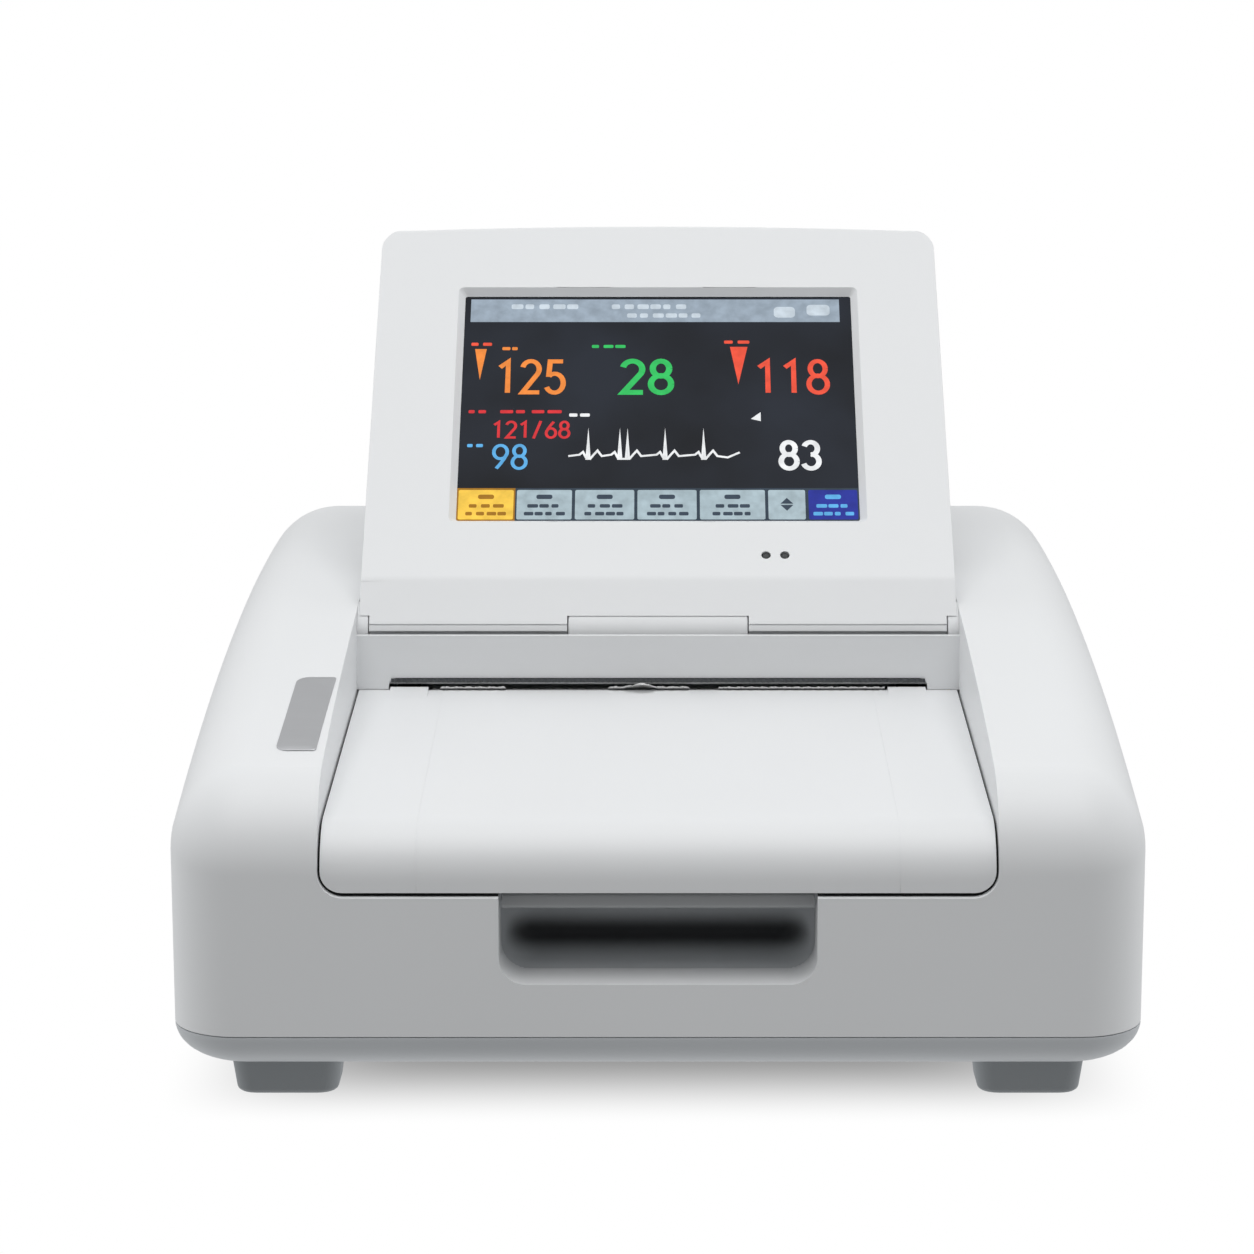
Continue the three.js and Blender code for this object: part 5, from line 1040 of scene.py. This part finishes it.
for side_name in ("left", "right"):
    for end in ("front", "rear"):
        screw(f"base_screw_{side_name}_{end}", "bottom", 23)
    for end in ("low", "high"):
        screw(f"rear_screw_{side_name}_{end}", "rear", 9)

# Socket panel: a grey plate in the right side, with four round sockets for the transducers in two colours.
# Each has a turned flange with a groove round it, a keyway and a ring of brass contacts down in its bore.
dark_plastic = plastic("dark_plastic", (0.022, 0.023, 0.026), 0.45, grain=0.1, tint=0.1)
red_plastic = plastic("red_plastic", (0.42, 0.035, 0.03), 0.4, tint=0.06)
brass = metal("brass", (0.70, 0.50, 0.20), 0.3)
CAD = frame["nodes"]
BODY_OF = {node: body for body, nodes in frame["record"]["behaviour"]["bodies"].items() for node in nodes}


def refine(node, material, width=0.3, segments=2):
    """A node's own solid with its flat faces made whole, its edges rounded and its curves shaded smooth."""
    mesh = bmesh.new()
    mesh.from_mesh(CAD[node].data)
    bmesh.ops.remove_doubles(mesh, verts=mesh.verts, dist=0.004 * MM)
    bmesh.ops.dissolve_limit(mesh, angle_limit=math.radians(1), verts=mesh.verts, edges=mesh.edges)
    piece = soften(link(mesh, f"{node}_skin", Matrix.Identity(4)), width, segments, 35)
    return dress(piece, material, BODY_OF[node], node, slot=CAD[node].data.materials[0].name)


def transducer_socket(index):
    node = f"transducer_socket_{index + 1}"
    place = on_face(node, "right")
    barrel = [(0, -18.6), (8.4, -18.6), (8.7, -18.3), (8.7, -1.6), (10.6, -1.6), (10.6, -0.5), (10.1, 0)]
    groove = [(9.1, 0), (8.9, -0.35), (8.5, -0.35), (8.3, 0)]
    bore = [(6.5, 0), (6, -0.5), (6, -12), (0, -12)]
    shell = link(turn([*barrel, *groove, *bore], 72), f"{node}_skin", place)
    carve(shell, block((-1.1, 1.1), (5, 7.4), (-9, 1)), place=place)
    dress(shell, red_plastic if index % 2 else dark_plastic, "base", node)
    core = turn([(0, -12.2), (4.1, -12.2), (4.1, -3.3), (3.8, -3), (0, -3)], 48)
    heart = link(core, f"{node}_core", place)
    spots = [*circle((0, 0), 2.7, 6), (0, 0)]
    for x, y in spots:
        carve(heart, rod("z", 0.62, (-8, -2), x, y, 20), place=place)
    dress(heart, dark_plastic, "base")
    for i, (x, y) in enumerate(spots):
        pin = turn([(0, -12.4), (0.42, -12.4), (0.42, -4.6), (0.2, -4.2), (0, -4.2)], 16)
        pin.transform(Matrix.Translation((x, y, 0)))
        dress(link(pin, f"{node}_contact_{i + 1}", place), brass, "base")


for index in range(4):
    transducer_socket(index)
refine("connector_panel", grey_plastic, 0.4, 3)

# Rear panel: a grey plate with the mains inlet, the earth stud and two data sockets, all without a cable.
# The inlet's three blades and the data sockets' contact strips are metal; the rest is moulded.
def mains_inlet():
    rim = rounded((-73.5, -42.5), (49, 73), 3, 8)
    body = rounded((-71.5, -44.5), (51.3, 70.7), 3, 8)
    mouth = rounded((-70, -46), (52.8, 69.2), (2, 2, 6, 6), 8)
    inlet = link(prism(rim, "y", 332, 334), "mains_inlet_skin")
    soften(inlet, 0.5, 3)
    carve(inlet, prism(body, "y", 315.8, 332.5), operation="UNION")
    carve(inlet, prism(mouth, "y", 317.2, 336))
    dress(inlet, dark_plastic, "base", "mains_inlet")
    for i, (x, z) in enumerate(((-65, 59), (-58, 63), (-51, 59))):
        blade = link(block((x - 1, x + 1), (316.6, 326), (z - 2, z + 2)), f"mains_blade_{i + 1}")
        dress(soften(blade, 0.4, 3), steel, "base")


def data_socket(node, x):
    body = rounded((x - 9, x + 9), (53, 69), 0.8, 4)
    outline = [(-6, 56.5), (6, 56.5), (6, 62), (3.5, 63.4), (3.5, 65.5), (-3.5, 65.5), (-3.5, 63.4), (-6, 62)]
    socket = link(prism(body, "y", 319.7, 333.7), f"{node}_skin")
    soften(socket, 0.3, 2)
    carve(socket, prism([(x + px, pz) for px, pz in outline], "y", 322.7, 335))
    dress(socket, dark_plastic, "base", node)
    for i in range(8):
        left = x - 4.2 + i * 1.14
        strip = block((left, left + 0.45), (322.2, 332.4), (56.4, 57.0))
        dress(link(strip, f"data_contact_{node[-1]}_{i + 1}"), brass, "base")


def earth_stud():
    place = on_face("earth_stud", "rear")
    tip = [(0, 0), (2.4, 0), (2.9, 0.4), (2.9, 1.1)]
    collar = [(5.1, 1.1), (5.5, 1.4), (5.5, 2), (3, 2), (3, 11), (0, 11)]
    dress(link(turn([*tip, *collar]), "earth_stud_skin", place), brass, "base", "earth_stud")


refine("rear_panel", grey_plastic, 0.4, 3)
mains_inlet()
data_socket("interface_socket_1", 24)
data_socket("interface_socket_2", 50)
earth_stud()

# Drawer and drive: the tray, its rails, the platen and the gears. The lever under the drawer's front edge is
# a thin grey flap with a rounded lip, on a steel pin. The platen is rubber, ground smooth, on a steel shaft.
lever_plastic = plastic("lever_plastic", (0.40, 0.41, 0.42), 0.48, grain=0.1, tint=0.05)
gear_plastic = plastic("gear_plastic", (0.74, 0.71, 0.60), 0.45, tint=0.04)
board_green = plastic("board_green", (0.03, 0.14, 0.07), 0.35, grain=0.15, grain_size=2, coat=0.4, tint=0.25)
aluminium = metal("aluminium", (0.66, 0.67, 0.68), 0.4, (0.05, 1, 1))
paper_pages = paper_material("paper_pages", pages=True)


def platen():
    ends = [(0, -76), (6.6, -76), (7, -75.6), (7, 75.6), (6.6, 76), (0, 76)]
    place = stand((0, at(PLATEN[0]), PLATEN[1] * MM), 90, "Y")
    roller = link(turn(ends, 72), "platen_roller_skin", place)
    carve(roller, rod("z", 2.25, (-80, 80), 0, 0, 32), place=place)
    dress(roller, black_rubber, "drawer", "platen_roller")


platen()
for nodes, material, width in (
    ("drawer_release_lever", lever_plastic, 0.35),
    ("lever_pin", steel, 0.15),
    ("drawer_tray", grey_plastic, 0.3),
    ("guide_rail_left guide_rail_right", dark_plastic, 0.3),
    ("print_head", aluminium, 0.25),
    ("platen_shaft", steel, 0.2),
    ("platen_bush_left platen_bush_right", brass, 0.15),
    ("platen_gear drive_gear", gear_plastic, 0.08),
    ("drive_gear_axle", steel, 0.15),
    ("motor_pinion", brass, 0.08),
    ("stepper_motor", dark_plastic, 0.4),
    ("paper_pack", paper_pages, 0.25),
    ("display_latch_button", grey_plastic, 0.4),
    ("chassis_plate", aluminium, 0.2),
    ("main_board", board_green, 0.15),
    ("power_supply", aluminium, 0.3),
    ("loudspeaker lcd_panel", dark_plastic, 0.3),
    ("display_board", board_green, 0.15),
):
    for node in nodes.split():
        refine(node, material, width)

# Glass and lamps of the display: a dark pane with a bevelled rim over the panel, and two small dark lenses,
# which are pressed into the bezel from behind.
def glass():
    pane = plastic("screen_glass", (0.012, 0.013, 0.016), 0.14, grain=0.01, coat=0.3, tint=0.15)
    refine("touch_glass", pane, 0.4, 3)
    lens = plastic("lens", (0.05, 0.052, 0.055), 0.6, grain=0.02, tint=0.15)
    for node, x in zip(("status_led_left", "status_led_right"), LEDS):
        flange = [(0, 7.5), (2.6, 7.5), (2.6, 10.5), (1.3, 10.8)]
        body = turn([*flange, (1.3, 12.7), (1.1, 13.1), (0.6, 13.35), (0, 13.4)], 32)
        body.transform(Matrix.Translation((x, LED_RISE, 0)))
        dress(link(body, f"{node}_skin", DISPLAY), lens, "display", node, slot="dark_plastic")


glass()

# Studio: a pale floor without a seam, soft light from above and all round, and a background of plain white.
world = bpy.data.worlds.new("studio")
bpy.context.scene.world = world
world.use_nodes = True
bpy.context.scene.view_settings.view_transform = "Standard"


def overhead_lamp():
    light = bpy.data.lights.new("overhead", "AREA")
    light.shape = "RECTANGLE"
    light.size, light.size_y = (1.5, 1.5)
    light.energy = 15
    lamp = bpy.data.objects.new("overhead", light)
    place, aim = Vector((0, -0.55, 1.55)), Vector((0, 0, 0.05))
    lamp.location = place
    lamp.rotation_euler = (aim - place).to_track_quat("-Z", "Y").to_euler()
    bpy.context.scene.collection.objects.link(lamp)


def studio_world(all_round, above, sides, below, front, behind):
    """Soft light that depends on its direction: most from above and from both sides, least from the front.
    The camera sees plain white behind the device."""
    tree = world.node_tree

    def sum_of(operation, first, second):
        return grow(tree, "Math", {0: first, 1: second}, operation=operation)

    place = grow(tree, "TexCoord", {}, "Generated")
    x, y, z = grow(tree, "SeparateXYZ", {0: place}).node.outputs
    up = sum_of("MULTIPLY", sum_of("MAXIMUM", z, 0), above)
    down = sum_of("MULTIPLY", sum_of("MINIMUM", z, 0), -below)
    across = sum_of("MULTIPLY", sum_of("MULTIPLY", x, x), sides)
    ahead = sum_of("MULTIPLY", sum_of("MINIMUM", y, 0), -front)
    after = sum_of("MULTIPLY", sum_of("MAXIMUM", y, 0), behind)
    level = sum_of("ADD", sum_of("ADD", ahead, after), all_round)
    strength = sum_of("ADD", sum_of("ADD", up, down), sum_of("ADD", across, level))
    surroundings = tree.nodes["Background"]
    feed(tree, surroundings, {"Color": (0.985, 0.995, 1, 1), "Strength": strength})
    backdrop = grow(tree, "Background", {"Color": (1, 1, 1, 1), "Strength": 1})
    seen = grow(tree, "LightPath", {}, "Is Camera Ray")
    choice = grow(tree, "MixShader", {0: seen, 1: surroundings.outputs[0], 2: backdrop})
    feed(tree, tree.nodes["World Output"], {"Surface": choice})


studio_world(all_round=0.12, above=0.42, sides=0.72, below=0.58, front=-0.22, behind=0.32)
overhead_lamp()


def table():
    """The white table, seen by the camera only, with the device's soft shadow painted on it. From below it is
    clear.
    """
    mesh = bmesh.new()
    bmesh.ops.create_grid(mesh, x_segments=2, y_segments=2, size=2)
    top = link(mesh, "table", Matrix.Translation((0, 0, -0.0003)))
    if top.data.polygons[0].normal.z < 0:
        top.data.flip_normals()
    material, tree, shader, place = fresh("table")
    tree.nodes.remove(shader)
    axes = grow(tree, "SeparateXYZ", {0: place}).node.outputs
    reach = []
    for axis, middle, half in ((0, 0, HALF_WIDTH * MM), (1, (FRONT + BACK) / 2, DEPTH / 2 * MM)):
        value = axes[axis]
        for operation, amount in (("SUBTRACT", middle), ("ABSOLUTE", 0), ("SUBTRACT", half)):
            value = grow(tree, "Math", {0: value, 1: amount}, operation=operation)
        reach.append(value)
    outside = grow(tree, "Math", {0: reach[0], 1: reach[1], 2: 0.05}, operation="SMOOTH_MAX")
    # Painted shadow: the table's glow dims towards the device's footprint.
    shade = spread(tree, outside, 0.3, 1, within=(-0.06, 0.008), curve="SMOOTHSTEP")
    white = grow(tree, "Emission", {"Strength": shade})
    clear = grow(tree, "BsdfTransparent", {})
    from_below = grow(tree, "NewGeometry", {}, "Backfacing")
    choice = grow(tree, "MixShader", {0: from_below, 1: white, 2: clear})
    feed(tree, tree.nodes["Material Output"], {"Surface": choice})
    top.data.materials.append(material)
    for rays in ("diffuse", "glossy", "transmission", "shadow"):
        setattr(top, f"visible_{rays}", False)


table()
